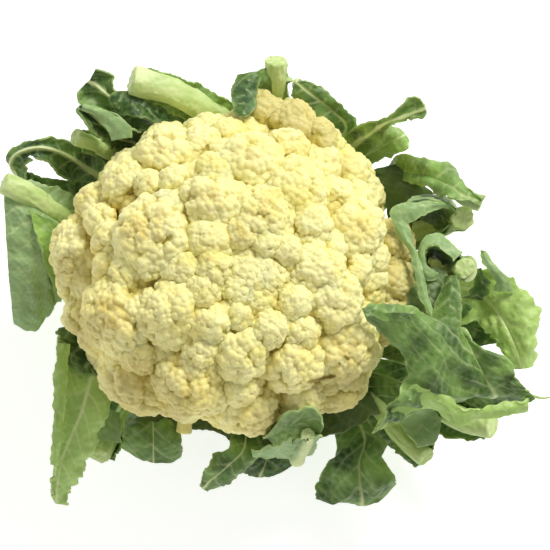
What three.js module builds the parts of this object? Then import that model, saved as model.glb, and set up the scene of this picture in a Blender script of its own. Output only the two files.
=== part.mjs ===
// A trimmed head of cauliflower, standing on the flat cut end of its stalk.
// Millimetres. The origin is the centre of the cut end, +Z runs up the stalk,
// -Y is the side of the head that faces a person who looks at it from the front.
import * as THREE from "three";

// Driving dimensions of the head
const HEAD_CENTRE = new THREE.Vector3(-5, 1.5, 75);
const HEAD_HALF_WIDTH = 76;
const HEAD_HALF_DEPTH = 72.5;
const HEAD_RISE = 57;
const HEAD_DROP = 31;
const HEAD_UNDERSIDE_Z = 46;
const HEAD_LEAN = 0.14;
const CORE_SCALE = 0.82;
const CURD_FINENESS = 19;
const CROWN_DETAIL_SHIFT = 0.4;
const CROWN_PASSES = 20;
const HEAD_SEED = 4177;

// Driving dimensions of the stalk
const STALK_RADIUS = 25;
const STALK_TOP_RADIUS = 29;
const STALK_CHAMFER = 1.5;
const STALK_SIDES = 32;
const STALK_FLARE_Z = 40;
const JOIN_GAP = 0.3;

// Driving dimensions of the leaves
const LEAF_ROOT_RADIUS = STALK_RADIUS + 2.2;
const LEAF_ROOT_HALF_WIDTH = 7.5;
const ROOT_RIB_HALF = 6.5;
const ROOT_RIB_DEPTH = 5;
const BLADE_THICKNESS = 1.2;
const WHORL_Z = { low: 10, middle: 22, high: 34 };
const PETIOLE_REACH = 12;
const PETIOLE_WIDENING = 1;
const PETIOLE_TURN = 0.3;
const PETIOLE_RISE = 0.28;

// The head was measured from above, 12 degrees forward of plumb, with heights taken
// from its widest level. viewed() turns such a place into one in the part's frame.
const VIEW_TILT = THREE.MathUtils.degToRad(12);
const WIDEST_Z = 85;

function viewed(x, y, z) {
  const drop = (z - WIDEST_Z) * Math.sin(VIEW_TILT);
  return new THREE.Vector3(x, (y - drop) / Math.cos(VIEW_TILT), z);
}

// Main florets of the crown: x, y as viewed, and the radius of the cap.
const FLORETS = [
  [-38, 58, 13], [-56, 43, 10], [-44, 41, 6], [-32, 43, 6], [-19, 63, 8], [-6, 67, 7],
  [-11, 48, 9], [-34, 30, 7], [-71, 31, 8], [-67, 23, 7], [-79, 9, 13], [-79, -7, 8],
  [-42, 16, 17], [-63, 14, 7], [-41, 0, 5], [-14, 33, 14], [-15, 13, 9], [-28, 0, 7],
  [-63, 1, 5], [-53, -3, 7], [-12, 0, 7], [5, 55, 14], [19, 70, 11], [24, 61, 8],
  [29, 40, 14], [41, 58, 12], [58, 49, 12], [47, 36, 7], [63, 36, 8], [12, 27, 13],
  [35, 20, 9], [57, 18, 14], [1, 17, 7], [13, 12, 6], [23, 8, 6], [38, -1, 11],
  [44, 10, 6], [55, 0, 6], [65, 4, 6], [-58, -24, 17], [-46, -39, 9], [-33, -22, 13],
  [-13, -26, 9], [-17, -11, 7], [0, -40, 11], [-22, -54, 16], [-49, -55, 15], [-17, -38, 8],
  [-75, -23, 8], [0, -54, 7], [4, -66, 13], [0, -22, 5], [25, -16, 7], [13, -28, 8],
  [28, -29, 7], [45, -16, 12], [50, -38, 15], [25, -45, 11], [53, -58, 17], [69, -10, 8],
  [78, 8, 8], [79, -8, 10], [72, -33, 8], [28, -60, 9], [39, -46, 5], [9, -13, 6],
  [0, -8, 6], [11, -3, 6], [20, -3, 6], [4, 5, 6], [18, -11, 6], [6, -22, 5], [67, -45, 9],
];

// Florets set by rule round the rim, between the measured ones and under them.
const RIM_ROWS = [
  { count: 20, level: 0.2, radius: 11, turn: 0.4, inset: 0.93 },
  { count: 19, level: -0.12, radius: 11, turn: 0.1, inset: 0.95 },
  { count: 16, level: -0.42, radius: 11, turn: 0.32, inset: 0.95 },
];
const RIM_SCATTER = 0.3;
const FLORET_SIZES = { least: 0.85, spread: 0.3 };

// A floret's ball: its radius over its cap's, how deep it sits, and how far it is lifted.
const BALL_OVER_CAP = 1.12;
const BALL_SUNK = 0.55;
const BALL_LIFT = 2;

// The smaller balls over a floret's cap: least cap that has them, how many, their size
// over the cap's, and the angle from the floret's axis to the outermost, in radians.
const SMALLEST_WITH_SUB_FLORETS = 8;
const SUB_FLORETS = 9;
const SUB_FLORET_SHARE = 0.4;
const SUB_FLORET_SPREAD = 1.25;
const SUB_FLORET_START = 0.35;
const GOLDEN_ANGLE = Math.PI * (3 - Math.sqrt(5));

// A repeatable random draw between 0 and 1.
function randomDraw(seed) {
  let state = seed >>> 0;
  return function next() {
    state = (state + 0x6d2b79f5) >>> 0;
    let mixed = Math.imul(state ^ (state >>> 15), state | 1);
    mixed ^= mixed + Math.imul(mixed ^ (mixed >>> 7), mixed | 61);
    return ((mixed ^ (mixed >>> 14)) >>> 0) / 4294967296;
  };
}

// A floret's size, a little under or over the usual one.
function variedSize(usual, random) {
  return usual * (FLORET_SIZES.least + FLORET_SIZES.spread * random());
}

// Distance from the head's centre to its smooth outer form, along a unit direction.
function envelopeRadius(direction) {
  const rise = direction.z > 0 ? HEAD_RISE : HEAD_DROP;
  const leaned = direction.y + (direction.z > 0 ? HEAD_LEAN * direction.z : 0);
  const across = Math.hypot(direction.x / HEAD_HALF_WIDTH, leaned / HEAD_HALF_DEPTH);
  return 1 / Math.hypot(across, direction.z / rise);
}

// The place on the smooth form that is seen at x, y in the view from above.
function crownPoint(x, y) {
  const direction = new THREE.Vector3();
  let z = WIDEST_Z;
  let place = viewed(x, y, z);
  for (let pass = 0; pass < CROWN_PASSES; pass += 1) {
    direction.copy(place).sub(HEAD_CENTRE);
    const flat = Math.hypot(direction.x / HEAD_HALF_WIDTH, direction.y / HEAD_HALF_DEPTH);
    const level = Math.sqrt(Math.max(0, 1 - Math.min(flat, 1) ** 2));
    z = 0.5 * (z + HEAD_CENTRE.z + HEAD_RISE * level);
    place = viewed(x, y, z);
  }
  direction.copy(place).sub(HEAD_CENTRE).normalize();
  return direction.multiplyScalar(envelopeRadius(direction)).add(HEAD_CENTRE);
}

// One floret as a ball sunk into the head, with smaller balls over its cap.
function floretBalls(place, capRadius, random) {
  const outward = place.clone().sub(HEAD_CENTRE).normalize();
  const ballRadius = capRadius * BALL_OVER_CAP;
  const sunk = ballRadius * BALL_SUNK - BALL_LIFT;
  const centre = place.clone().addScaledVector(outward, -sunk);
  const balls = [{ centre, radius: ballRadius }];
  if (capRadius < SMALLEST_WITH_SUB_FLORETS) return balls;
  const frame = new THREE.Quaternion().setFromUnitVectors(new THREE.Vector3(0, 0, 1), outward);
  const start = random() * Math.PI * 2;
  for (let i = 0; i < SUB_FLORETS; i += 1) {
    const spread = SUB_FLORET_SPREAD * Math.sqrt((i + SUB_FLORET_START) / SUB_FLORETS);
    const turn = start + i * GOLDEN_ANGLE;
    const aim = new THREE.Vector3(
      Math.sin(spread) * Math.cos(turn),
      Math.sin(spread) * Math.sin(turn),
      Math.cos(spread),
    ).applyQuaternion(frame);
    const radius = variedSize(capRadius * SUB_FLORET_SHARE, random);
    const reach = ballRadius - radius * BALL_SUNK;
    balls.push({ centre: centre.clone().addScaledVector(aim, reach), radius });
  }
  return balls;
}

// Every ball of the head: the measured crown, then the rows under its rim.
function headBalls() {
  const random = randomDraw(HEAD_SEED);
  const balls = [];
  for (const [x, y, radius] of FLORETS) {
    balls.push(...floretBalls(crownPoint(x, y), radius, random));
  }
  for (const row of RIM_ROWS) {
    for (let i = 0; i < row.count; i += 1) {
      const turn = (Math.PI * 2 * (i + row.turn + RIM_SCATTER * random())) / row.count;
      const flat = Math.sqrt(1 - row.level ** 2);
      const aim = new THREE.Vector3(Math.cos(turn) * flat, Math.sin(turn) * flat, row.level);
      const place = aim.multiplyScalar(envelopeRadius(aim) * row.inset).add(HEAD_CENTRE);
      balls.push(...floretBalls(place, variedSize(row.radius, random), random));
    }
  }
  return balls;
}

// How far a ray from the head's centre runs before it leaves a ball, or 0 if it misses.
function exitDistance(direction, ball) {
  const offset = ball.centre.clone().sub(HEAD_CENTRE);
  const along = offset.dot(direction);
  const miss = offset.lengthSq() - along * along;
  const half = ball.radius * ball.radius - miss;
  return half > 0 ? along + Math.sqrt(half) : 0;
}

const HEAD_BALLS = headBalls();

// How far the curd reaches from the head's centre along a unit direction: to the
// furthest ball, over a smaller core, and no lower than its flat underside.
function curdReach(direction) {
  let reach = envelopeRadius(direction) * CORE_SCALE;
  for (const ball of HEAD_BALLS) reach = Math.max(reach, exitDistance(direction, ball));
  const floor = HEAD_CENTRE.z - HEAD_UNDERSIDE_Z;
  return direction.z * reach < -floor ? -floor / direction.z : reach;
}

// The curd: a closed skin of points pushed out to its reach, finer on the crown.
function curdGeometry() {
  const geometry = new THREE.IcosahedronGeometry(1, CURD_FINENESS);
  const position = geometry.getAttribute("position");
  const direction = new THREE.Vector3();
  for (let i = 0; i < position.count; i += 1) {
    direction.fromBufferAttribute(position, i);
    direction.z += CROWN_DETAIL_SHIFT * (1 - direction.z ** 2);
    direction.set(
      direction.x * HEAD_HALF_WIDTH,
      direction.y * HEAD_HALF_DEPTH,
      direction.z * (direction.z > 0 ? HEAD_RISE : HEAD_DROP),
    );
    direction.normalize();
    direction.multiplyScalar(curdReach(direction)).add(HEAD_CENTRE);
    position.setXYZ(i, direction.x, direction.y, direction.z);
  }
  geometry.computeVertexNormals();
  return geometry;
}

// The stalk: flat cut end below, flaring a little to meet the underside of the curd.
function stalkGeometry() {
  const top = HEAD_UNDERSIDE_Z - JOIN_GAP;
  const profile = [
    new THREE.Vector2(0, 0),
    new THREE.Vector2(STALK_RADIUS - STALK_CHAMFER, 0),
    new THREE.Vector2(STALK_RADIUS, STALK_CHAMFER),
    new THREE.Vector2(STALK_RADIUS, STALK_FLARE_Z),
    new THREE.Vector2(STALK_TOP_RADIUS, top),
    new THREE.Vector2(0, top),
  ];
  return new THREE.LatheGeometry(profile, STALK_SIDES).rotateX(Math.PI / 2);
}

// Each leaf: where it leaves the stalk (degrees from +X, whorl), the half width and
// depth of its rib, the steps along its length, and stations from the curd outward. A
// station is the rib, the left margin and the right margin as x, y, z in the view from
// above, then how far the left and right sides bow towards the leaf's upper face.
const LEAVES = {
  leaf_top: {
    root: [86, "high"], rib: [5.2, 6], steps: 9,
    stations: [
      [[15, 72, 60], [2, 71, 66], [24, 73, 60], 2, 0],
      [[17, 80, 76], [-3, 78, 84], [23, 79, 75], 3, 0],
      [[17, 89, 87], [1, 86, 91], [22, 88, 86], 3, 0],
      [[17, 97, 93], [9, 93, 93], [22, 96, 92], 1, 0],
    ],
  },
  leaf_top_left_rib: {
    root: [97, "middle"], rib: [6, 7], steps: 10,
    stations: [
      [[-7, 70, 58], [-15, 66, 54], [0, 73, 60], 0, 0],
      [[-18, 77, 74], [-24, 69, 70], [-13, 83, 76], 0, 0],
      [[-33, 84, 84], [-38, 76, 81], [-28, 90, 86], 0, 0],
      [[-50, 88, 88], [-51, 81, 86], [-43, 94, 89], 0, 0],
    ],
  },
  leaf_upper_left_lobes: {
    root: [112, "low"], rib: [2.4, 2.5], steps: 12,
    stations: [
      [[-31, 61, 40], [-40, 56, 38], [-20, 64, 42], 0, 0],
      [[-42, 70, 60], [-51, 62, 58], [-30, 75, 64], -2, -1],
      [[-53, 75, 76], [-61, 68, 74], [-45, 81, 78], -3, -2],
      [[-62, 81, 84], [-72, 76, 84], [-59, 84, 85], -3, -1],
      [[-68, 86, 86], [-77, 80, 84], [-60, 91, 90], -2, -2],
      [[-71, 88, 85], [-74, 86, 84], [-68, 93, 90], 0, 0],
    ],
  },
  leaf_upper_left_fold: {
    root: [127, "high"], rib: [1.6, 1.5], steps: 10,
    stations: [
      [[-48, 57, 58], [-55, 53, 58], [-42, 63, 58], -1, 0],
      [[-57, 61, 84], [-62, 57, 88], [-49, 64, 92], -2, -2],
      [[-64, 67, 92], [-68, 63, 97], [-56, 70, 100], -2, -2],
      [[-70, 72, 95], [-73, 69, 99], [-66, 75, 101], -1, -1],
      [[-76, 75.4, 96], [-77, 74, 97], [-74, 76.5, 98], 0, 0],
    ],
  },
  leaf_left_cut_rib: {
    root: [142, "middle"], rib: [3.6, 4], steps: 9,
    stations: [
      [[-52, 48, 46], [-58, 43, 46], [-47, 53, 47], 0, 0],
      [[-62, 54, 66], [-65, 50, 66], [-59, 59, 67], 0, 0],
      [[-69, 58.5, 80], [-71, 54, 80], [-66, 63, 81], 0, 0],
      [[-76, 61, 88], [-78, 57, 88], [-74, 65, 88], 0, 0],
    ],
  },
  leaf_left_long: {
    root: [157, "low"], rib: [2.4, 2.5], steps: 13,
    stations: [
      [[-64, 40, 40], [-68, 32, 38], [-60, 48, 44], 0, 0],
      [[-74, 48, 62], [-76, 38, 58], [-70, 56, 68], -2, -1],
      [[-84, 54, 76], [-85, 44, 74], [-82, 60, 78], -3, -1],
      [[-94, 56.5, 82], [-91, 50, 80], [-92, 61, 82], -2, -1],
      [[-104, 54, 82], [-98, 51, 82], [-104, 58, 80], -2, -1],
      [[-108, 49, 76], [-101, 47, 78], [-109, 53, 74], -2, 0],
      [[-105, 44, 71], [-100, 42, 73], [-107, 45, 69], 0, 0],
    ],
  },
  leaf_left_hanging: {
    root: [178, "middle"], rib: [4.2, 4.5], steps: 13,
    stations: [
      [[-75, 16, 50], [-76, 4, 46], [-72, 28, 52], 0, 0],
      [[-88, 24, 68], [-89, -12, 50], [-82, 36, 68], 4, 1],
      [[-97, 31, 76], [-93, -20, 48], [-93, 40, 76], 5, 1],
      [[-105, 36, 79], [-98, -30, 45], [-102, 42, 78], 5, 1],
      [[-111, 39, 80], [-107, -26, 46], [-109, 43, 79], 5, 0],
    ],
  },
  leaf_lower_left_long: {
    root: [194, "high"], rib: [2.2, 2.5], steps: 15,
    stations: [
      [[-60, -28, 46], [-54, -38, 44], [-68, -18, 48], 0, 0],
      [[-67, -42, 60], [-58, -50, 52], [-85, -31, 64], 2, -2],
      [[-71, -57, 64], [-61, -63, 56], [-83, -47, 68], 3, -2],
      [[-74, -68, 62], [-65, -75, 54], [-85.5, -64, 66], 3, -2],
      [[-79, -79, 56], [-71, -87, 48], [-86.5, -79, 61], 3, -2],
      [[-84, -91, 47], [-75, -97, 40], [-87, -92, 51], 2, -1],
      [[-86.5, -103, 36], [-80, -105, 32], [-89, -103, 38], 1, 0],
      [[-87, -111, 28], [-83.5, -111, 26], [-89, -108, 30], 0, 0],
    ],
  },
  leaf_lower_left_cut_rib: {
    root: [206, "low"], rib: [4.5, 5], steps: 9,
    stations: [
      [[-50, -56, 20], [-42, -62, 22], [-58, -50, 20], 0, 0],
      [[-58, -70, 27], [-52, -77, 32], [-66, -64, 26], -3, 0],
      [[-63, -79, 33], [-56, -84, 38], [-70, -76, 33], -3, 0],
      [[-67, -88, 38], [-60, -90, 40], [-72, -86, 38], 0, 0],
    ],
  },
  leaf_bottom_left_square: {
    root: [226, "middle"], rib: [2.2, 2.2], steps: 10,
    stations: [
      [[-38, -62, 38], [-28, -64, 38], [-47, -58, 38], 0, 0],
      [[-41, -72, 47], [-29, -72, 45], [-54, -72, 48], 2, 2],
      [[-41, -82, 46], [-27.5, -82, 43], [-55, -79, 47], 3, 3],
      [[-41, -91.5, 38], [-28, -89, 34], [-56, -85, 41], 2, 2],
    ],
  },
  leaf_bottom_lens: {
    root: [250, "high"], rib: [1.6, 1.6], steps: 11,
    stations: [
      [[1, -70, 42], [8, -70, 42], [-6, -69, 42], 0, 0],
      [[2, -84, 52], [10, -85, 50], [-5, -83, 51], 1, 1],
      [[-5, -92, 49], [2, -95, 45], [-13, -89, 47], 2, 2],
      [[-13, -99, 40], [-7, -102, 37], [-17, -97, 38], 1, 1],
      [[-17.5, -104, 31], [-15, -105, 30], [-18.5, -102, 30], 0, 0],
    ],
  },
  leaf_bottom_dark: {
    root: [246, "low"], rib: [2.2, 2.4], steps: 10,
    stations: [
      [[15, -70, 22], [25, -70, 24], [5, -70, 22], 0, 0],
      [[15, -82, 28], [29, -84, 32], [2, -84, 27], 2, 2],
      [[12, -92, 26], [26, -92, 28], [0, -94, 24], 2, 2],
      [[9, -99, 21], [16, -98.5, 23], [3, -98, 19], 0, 0],
    ],
  },
  leaf_bottom_curl: {
    root: [266, "middle"], rib: [3.4, 4], steps: 14,
    stations: [
      [[24, -70, 38], [32, -69, 40], [14, -71, 38], 0, 0],
      [[30, -86, 56], [38, -84, 58], [18, -86, 54], 0, -2],
      [[33, -84, 76], [40, -79, 80], [14, -84, 74], 2, 3],
      [[32, -76, 92], [39, -71, 94], [11, -76, 92], 3, 4],
      [[28, -69, 103], [36, -67, 104], [15, -69, 102], 2, 3],
      [[26, -65, 106], [31, -65, 106], [19, -65, 105], 0, 0],
    ],
  },
  leaf_bottom_right_large: {
    root: [284, "low"], rib: [3, 3.2], steps: 14,
    stations: [
      [[48, -62, 18], [57, -58, 20], [38, -65, 18], 0, 0],
      [[59, -80, 25], [71, -76, 30], [46, -86, 22], 2, 2],
      [[57, -92, 26], [67, -90, 30], [40, -94, 22], 3, 3],
      [[57, -101, 23], [73, -98, 28], [37, -102, 18], 4, 4],
      [[58, -108, 17], [73, -104, 22], [35.5, -108, 12], 3, 3],
      [[58, -112.5, 12], [66, -112, 15], [38, -111.5, 9], 0, 0],
    ],
  },
  leaf_lower_right_short_rib: {
    root: [302, "middle"], rib: [4.2, 4.8], steps: 10,
    stations: [
      [[62, -60, 38], [72, -52, 42], [54, -67, 36], 0, 0],
      [[75, -75, 46], [94, -66, 52], [68, -82, 42], -3, 0],
      [[82, -84, 50], [90, -78, 54], [76, -88, 46], -2, 0],
      [[87, -90, 51], [91.5, -85, 53], [82, -94, 49], 0, 0],
    ],
  },
  leaf_lower_right_cut_rib: {
    root: [318, "low"], rib: [5, 5.5], steps: 9,
    stations: [
      [[78, -56, 20], [85, -47, 24], [72, -64, 18], 0, 0],
      [[96, -68, 27], [102, -58, 33], [92, -78, 23], -2, -1],
      [[108, -73, 33], [111, -64, 38], [104, -81, 29], -2, -1],
      [[119, -75, 38], [121, -68, 40], [115, -81, 35], 0, 0],
    ],
  },
  leaf_over_curd: {
    root: [336, "high"], rib: [2.6, 3], steps: 18,
    stations: [
      [[84, -38, 46], [89, -30, 46], [78, -46, 46], 0, 0],
      [[108, -56, 58], [104, -46, 62], [113, -66, 58], 0, 0],
      [[119, -60, 76], [64, -76, 84], [135, -61, 80], -6, -2],
      [[114, -50, 86], [74, -58, 96], [130, -53, 86], 5, 2],
      [[109, -41, 91], [78, -45, 102], [123, -42, 90], 5, 2],
      [[104, -31, 94], [66, -28, 113], [110, -37, 93], 5, 1],
      [[101, -27, 95], [55, -20, 121], [103, -28, 94], 4, 0],
    ],
  },
  leaf_right_large: {
    root: [352, "low"], rib: [2.8, 3], steps: 15,
    stations: [
      [[88, -8, 26], [88, 2, 28], [88, -17, 26], 0, 0],
      [[104, -9, 42], [106, -1, 46], [101, -19, 42], 0, 0],
      [[112, -12, 58], [113, 5, 66], [104, -27, 56], -2, -2],
      [[119, -17, 66], [125, -3, 72], [111, -26, 60], 2, -2],
      [[125, -27, 68], [139, -19, 70], [119, -32, 62], 3, 2],
      [[130, -38, 66], [140, -32, 66], [124, -40, 60], 3, 2],
      [[133, -47, 62], [137.5, -47, 62], [126.5, -48, 58], 0, 0],
    ],
  },
  leaf_right_small_curl: {
    root: [4, "middle"], rib: [4.6, 5], steps: 11,
    stations: [
      [[84, 2, 46], [84, 8, 48], [84, -4, 46], 0, 0],
      [[97, 1, 60], [90, 9, 66], [90, -7, 64], -4, -4],
      [[103, 0, 76], [90, 11, 85], [87, -7, 84], -8, -8],
      [[105, 0, 92], [99, 8, 92], [98, -6, 91], -3, -3],
    ],
  },
  leaf_right_curl: {
    root: [15, "high"], rib: [5, 5.5], steps: 12,
    stations: [
      [[80, 15, 52], [78, 24, 54], [82, 8, 52], 0, 0],
      [[94, 21, 64], [84, 31, 72], [89, 14, 70], -3, -2],
      [[101, 23, 78], [80, 32, 90], [92, 17, 84], -8, -3],
      [[104, 23, 91], [74, 27, 101], [98, 18, 91], -7, -1],
    ],
  },
  leaf_right_upper: {
    root: [30, "low"], rib: [3.2, 3.5], steps: 13,
    stations: [
      [[70, 40, 38], [68, 46, 40], [74, 34, 38], 0, 0],
      [[77, 46, 66], [75, 53.5, 79], [76, 41, 66], 1, 0],
      [[87, 43, 86], [88, 50.5, 89], [84, 39, 88], 3, 2],
      [[97, 38, 97], [101, 47, 92], [93, 35, 99], 3, 2],
      [[105, 33, 99], [105, 38, 97], [101, 31, 101], 1, 0],
      [[113, 30.3, 99], [113, 32.3, 99], [112, 28.5, 99], 0, 0],
    ],
  },
  leaf_right_round_lobe: {
    root: [49, "middle"], rib: [1.8, 2], steps: 9,
    stations: [
      [[56, 51, 46], [50, 57, 46], [60, 47, 46], 0, 0],
      [[66, 57, 60], [62, 63, 60], [71, 53, 59], 2, 1],
      [[73, 61, 68], [69, 67, 67], [78, 56, 66], 3, 1],
      [[78, 63, 68], [75, 66, 67], [80, 60, 67], 0, 0],
    ],
  },
  leaf_right_ladle: {
    root: [50, "high"], rib: [2, 2.4], steps: 13,
    stations: [
      [[52, 56, 60], [47, 60, 60], [58, 52, 60], 0, 0],
      [[61, 63, 80], [56, 67, 80], [66, 58, 79], -2, -2],
      [[68, 68, 88], [66, 70, 89], [70, 66, 88], 0, 0],
      [[76, 70.8, 91], [73, 73, 93], [77, 69.3, 91], -1, 0],
      [[82, 73, 92], [79, 79, 96], [83, 70.3, 92], -2, -1],
      [[87, 75, 93], [84.5, 79.5, 95], [87.5, 72, 92], 0, 0],
    ],
  },
  leaf_top_right: {
    root: [68, "low"], rib: [3, 3.2], steps: 12,
    stations: [
      [[44, 58, 40], [38, 60, 40], [52, 54, 40], 0, 0],
      [[50, 68, 60], [44, 65, 58], [56, 66, 60], 0, 0],
      [[42, 76, 72], [36, 68, 68], [48, 77, 72], 2, 1],
      [[34, 82, 79], [27, 75, 76], [39, 84, 79], 2, 1],
      [[26, 88, 84], [24, 82, 83], [31, 88, 84], 0, 0],
    ],
  },
};

// How a leaf keeps clear of the curd that it lies against.
const LEAF_CLEARANCE = 2;
const FEELERS = 6;
const FEELER_SPREAD = 0.07;

// How the margins wave: height, waves along one leaf, where along it they begin and are
// full, and how the waves of the two sides and of the next leaf are set off.
const MARGIN_WAVE = 1.6;
const MARGIN_WAVES = 4.5;
const MARGIN_WAVE_FROM = 0.35;
const MARGIN_WAVE_FULL = 0.6;
const SIDE_PHASE = 2;
const LEAF_PHASE = 2.4;

// How the thick root tapers into the rib, and the rib's shoulders: where they stand
// over its half width, their depth over the rib's, and the most they take of a blade.
const ROOT_TAPER_END = 0.45;
const RIB_SHOULDER = 0.75;
const RIB_SHOULDER_DEPTH = 0.6;
const WIDEST_SHOULDER = 0.55;
const LEAST_BLADE = 0.5;

// Small steps along and across a leaf, for its slopes.
const STEP_ALONG = 0.02;
const STEP_ACROSS = 0.15;

// A smooth curve through the values of each station, at t from 0 to 1.
function alongStations(values, t) {
  const last = values.length - 1;
  const at = Math.min(t, 1) * last;
  const k = Math.min(Math.floor(at), last - 1);
  const u = at - k;
  const [a, b] = [values[k], values[k + 1]];
  const before = values[Math.max(k - 1, 0)];
  const after = values[Math.min(k + 2, last)];
  return a.map((_, i) => {
    const inSlope = (b[i] - before[i]) / 2;
    const outSlope = (after[i] - a[i]) / 2;
    const rise = b[i] - a[i];
    const curve = (3 * rise - 2 * inSlope - outSlope) * u ** 2;
    return a[i] + inSlope * u + curve + (inSlope + outSlope - 2 * rise) * u ** 3;
  });
}

// The stations of a leaf in the part's frame: two by rule between the stalk and the
// edge of the curd, then the measured ones. Each is 11 numbers in one row.
function stationRows(leaf) {
  const [degrees, whorl] = leaf.root;
  const angle = THREE.MathUtils.degToRad(degrees);
  const outward = new THREE.Vector3(Math.cos(angle), Math.sin(angle), 0);
  const leftward = new THREE.Vector3(-outward.y, outward.x, 0);
  const rows = leaf.stations.map(([rib, left, right, leftBow, rightBow]) => [
    ...viewed(...rib), ...viewed(...left), ...viewed(...right), leftBow, rightBow,
  ]);
  const first = new THREE.Vector3(...rows[0].slice(0, 3));
  const rootRow = (reach, height, halfWidth, pull) => {
    const rib = outward.clone().multiplyScalar(reach).setZ(height);
    rib.lerp(new THREE.Vector3(first.x, first.y, height), pull);
    const left = rib.clone().addScaledVector(leftward, halfWidth);
    const right = rib.clone().addScaledVector(leftward, -halfWidth);
    return [...rib, ...left, ...right, 0, 0];
  };
  const z = WHORL_Z[whorl];
  const middleZ = z + PETIOLE_RISE * (first.z - z);
  const middleReach = LEAF_ROOT_RADIUS + PETIOLE_REACH;
  const middleHalfWidth = LEAF_ROOT_HALF_WIDTH + PETIOLE_WIDENING;
  return [
    rootRow(LEAF_ROOT_RADIUS, z, LEAF_ROOT_HALF_WIDTH, 0),
    rootRow(middleReach, middleZ, middleHalfWidth, PETIOLE_TURN),
    ...rows,
  ];
}

// Moves a point of a leaf out of the curd, so that the leaf lies against it. The curd
// is felt at the point and at places round it, because the leaf spans its hollows.
function clearOfCurd(point) {
  const direction = point.clone().sub(HEAD_CENTRE);
  const distance = direction.length();
  direction.normalize();
  const sideways = new THREE.Vector3(-direction.y, direction.x, 0).normalize();
  const upward = direction.clone().cross(sideways);
  let reach = curdReach(direction);
  for (let i = 0; i < FEELERS; i += 1) {
    const angle = (2 * Math.PI * i) / FEELERS;
    const aim = direction.clone()
      .addScaledVector(sideways, FEELER_SPREAD * Math.cos(angle))
      .addScaledVector(upward, FEELER_SPREAD * Math.sin(angle))
      .normalize();
    reach = Math.max(reach, curdReach(aim));
  }
  const nearest = reach + LEAF_CLEARANCE;
  if (distance >= nearest) return point;
  return point.copy(HEAD_CENTRE).addScaledVector(direction, nearest);
}

// The middle surface of a leaf at t along its rib and v across it, from -1 at the left
// margin through 0 on the rib to 1 at the right margin.
function leafSurface(rows, phase, t, v) {
  const row = alongStations(rows, t);
  const rib = new THREE.Vector3(...row.slice(0, 3));
  const left = new THREE.Vector3(...row.slice(3, 6));
  const right = new THREE.Vector3(...row.slice(6, 9));
  const ahead = alongStations(rows, Math.min(t + STEP_ALONG, 1)).slice(0, 3);
  const behind = alongStations(rows, Math.max(t - STEP_ALONG, 0)).slice(0, 3);
  const course = new THREE.Vector3(...ahead).sub(new THREE.Vector3(...behind));
  const up = course.cross(left.clone().sub(right)).normalize();
  const share = Math.abs(v);
  const bow = v < 0 ? row[9] : row[10];
  const sidePhase = phase + (v < 0 ? 0 : SIDE_PHASE);
  const swing = Math.sin(2 * Math.PI * MARGIN_WAVES * t + sidePhase);
  const free = THREE.MathUtils.smoothstep(t, MARGIN_WAVE_FROM, MARGIN_WAVE_FULL);
  const lift = bow * 4 * share * (1 - share) + MARGIN_WAVE * free * swing * share ** 2;
  return clearOfCurd(rib.lerp(v < 0 ? left : right, share).addScaledVector(up, lift));
}

// A leaf as one closed solid: an upper sheet, a lower sheet thickened along the rib,
// and a rim that joins them. Both sheets are split along the same diagonals.
function leafGeometry(leaf, index) {
  const rows = stationRows(leaf);
  const phase = index * LEAF_PHASE;
  const depths = [0, 0, RIB_SHOULDER_DEPTH, 1, RIB_SHOULDER_DEPTH, 0, 0];
  const upper = [];
  const lower = [];
  for (let i = 0; i <= leaf.steps; i += 1) {
    const t = i / leaf.steps;
    const out = THREE.MathUtils.smoothstep(t, 0, ROOT_TAPER_END);
    const ribHalf = THREE.MathUtils.lerp(ROOT_RIB_HALF, leaf.rib[0], out);
    const ribDepth = THREE.MathUtils.lerp(ROOT_RIB_DEPTH, leaf.rib[1], out);
    const place = (v) => leafSurface(rows, phase, t, v);
    const middle = place(0);
    const shoulder = (side) => {
      const width = Math.max(place(side).distanceTo(middle), LEAST_BLADE);
      return Math.min((RIB_SHOULDER * ribHalf) / width, WIDEST_SHOULDER);
    };
    const leftIn = shoulder(-1);
    const rightIn = shoulder(1);
    const across = [-1, -(1 + leftIn) / 2, -leftIn, 0, rightIn, (1 + rightIn) / 2, 1];
    across.forEach((v, j) => {
      const point = place(v);
      const normal = surfaceNormal(rows, phase, t, v);
      const depth = BLADE_THICKNESS / 2 + depths[j] * ribDepth;
      upper.push(point.clone().addScaledVector(normal, BLADE_THICKNESS / 2));
      lower.push(point.clone().addScaledVector(normal, -depth));
    });
  }
  return closedSheets(upper, lower, leaf.steps + 1, depths.length);
}

// The direction that a leaf's upper face looks in.
function surfaceNormal(rows, phase, t, v) {
  const along = leafSurface(rows, phase, Math.min(t + STEP_ALONG, 1), v)
    .sub(leafSurface(rows, phase, Math.max(t - STEP_ALONG, 0), v));
  const across = leafSurface(rows, phase, t, Math.max(v - STEP_ACROSS, -1))
    .sub(leafSurface(rows, phase, t, Math.min(v + STEP_ACROSS, 1)));
  return along.cross(across).normalize();
}

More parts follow.
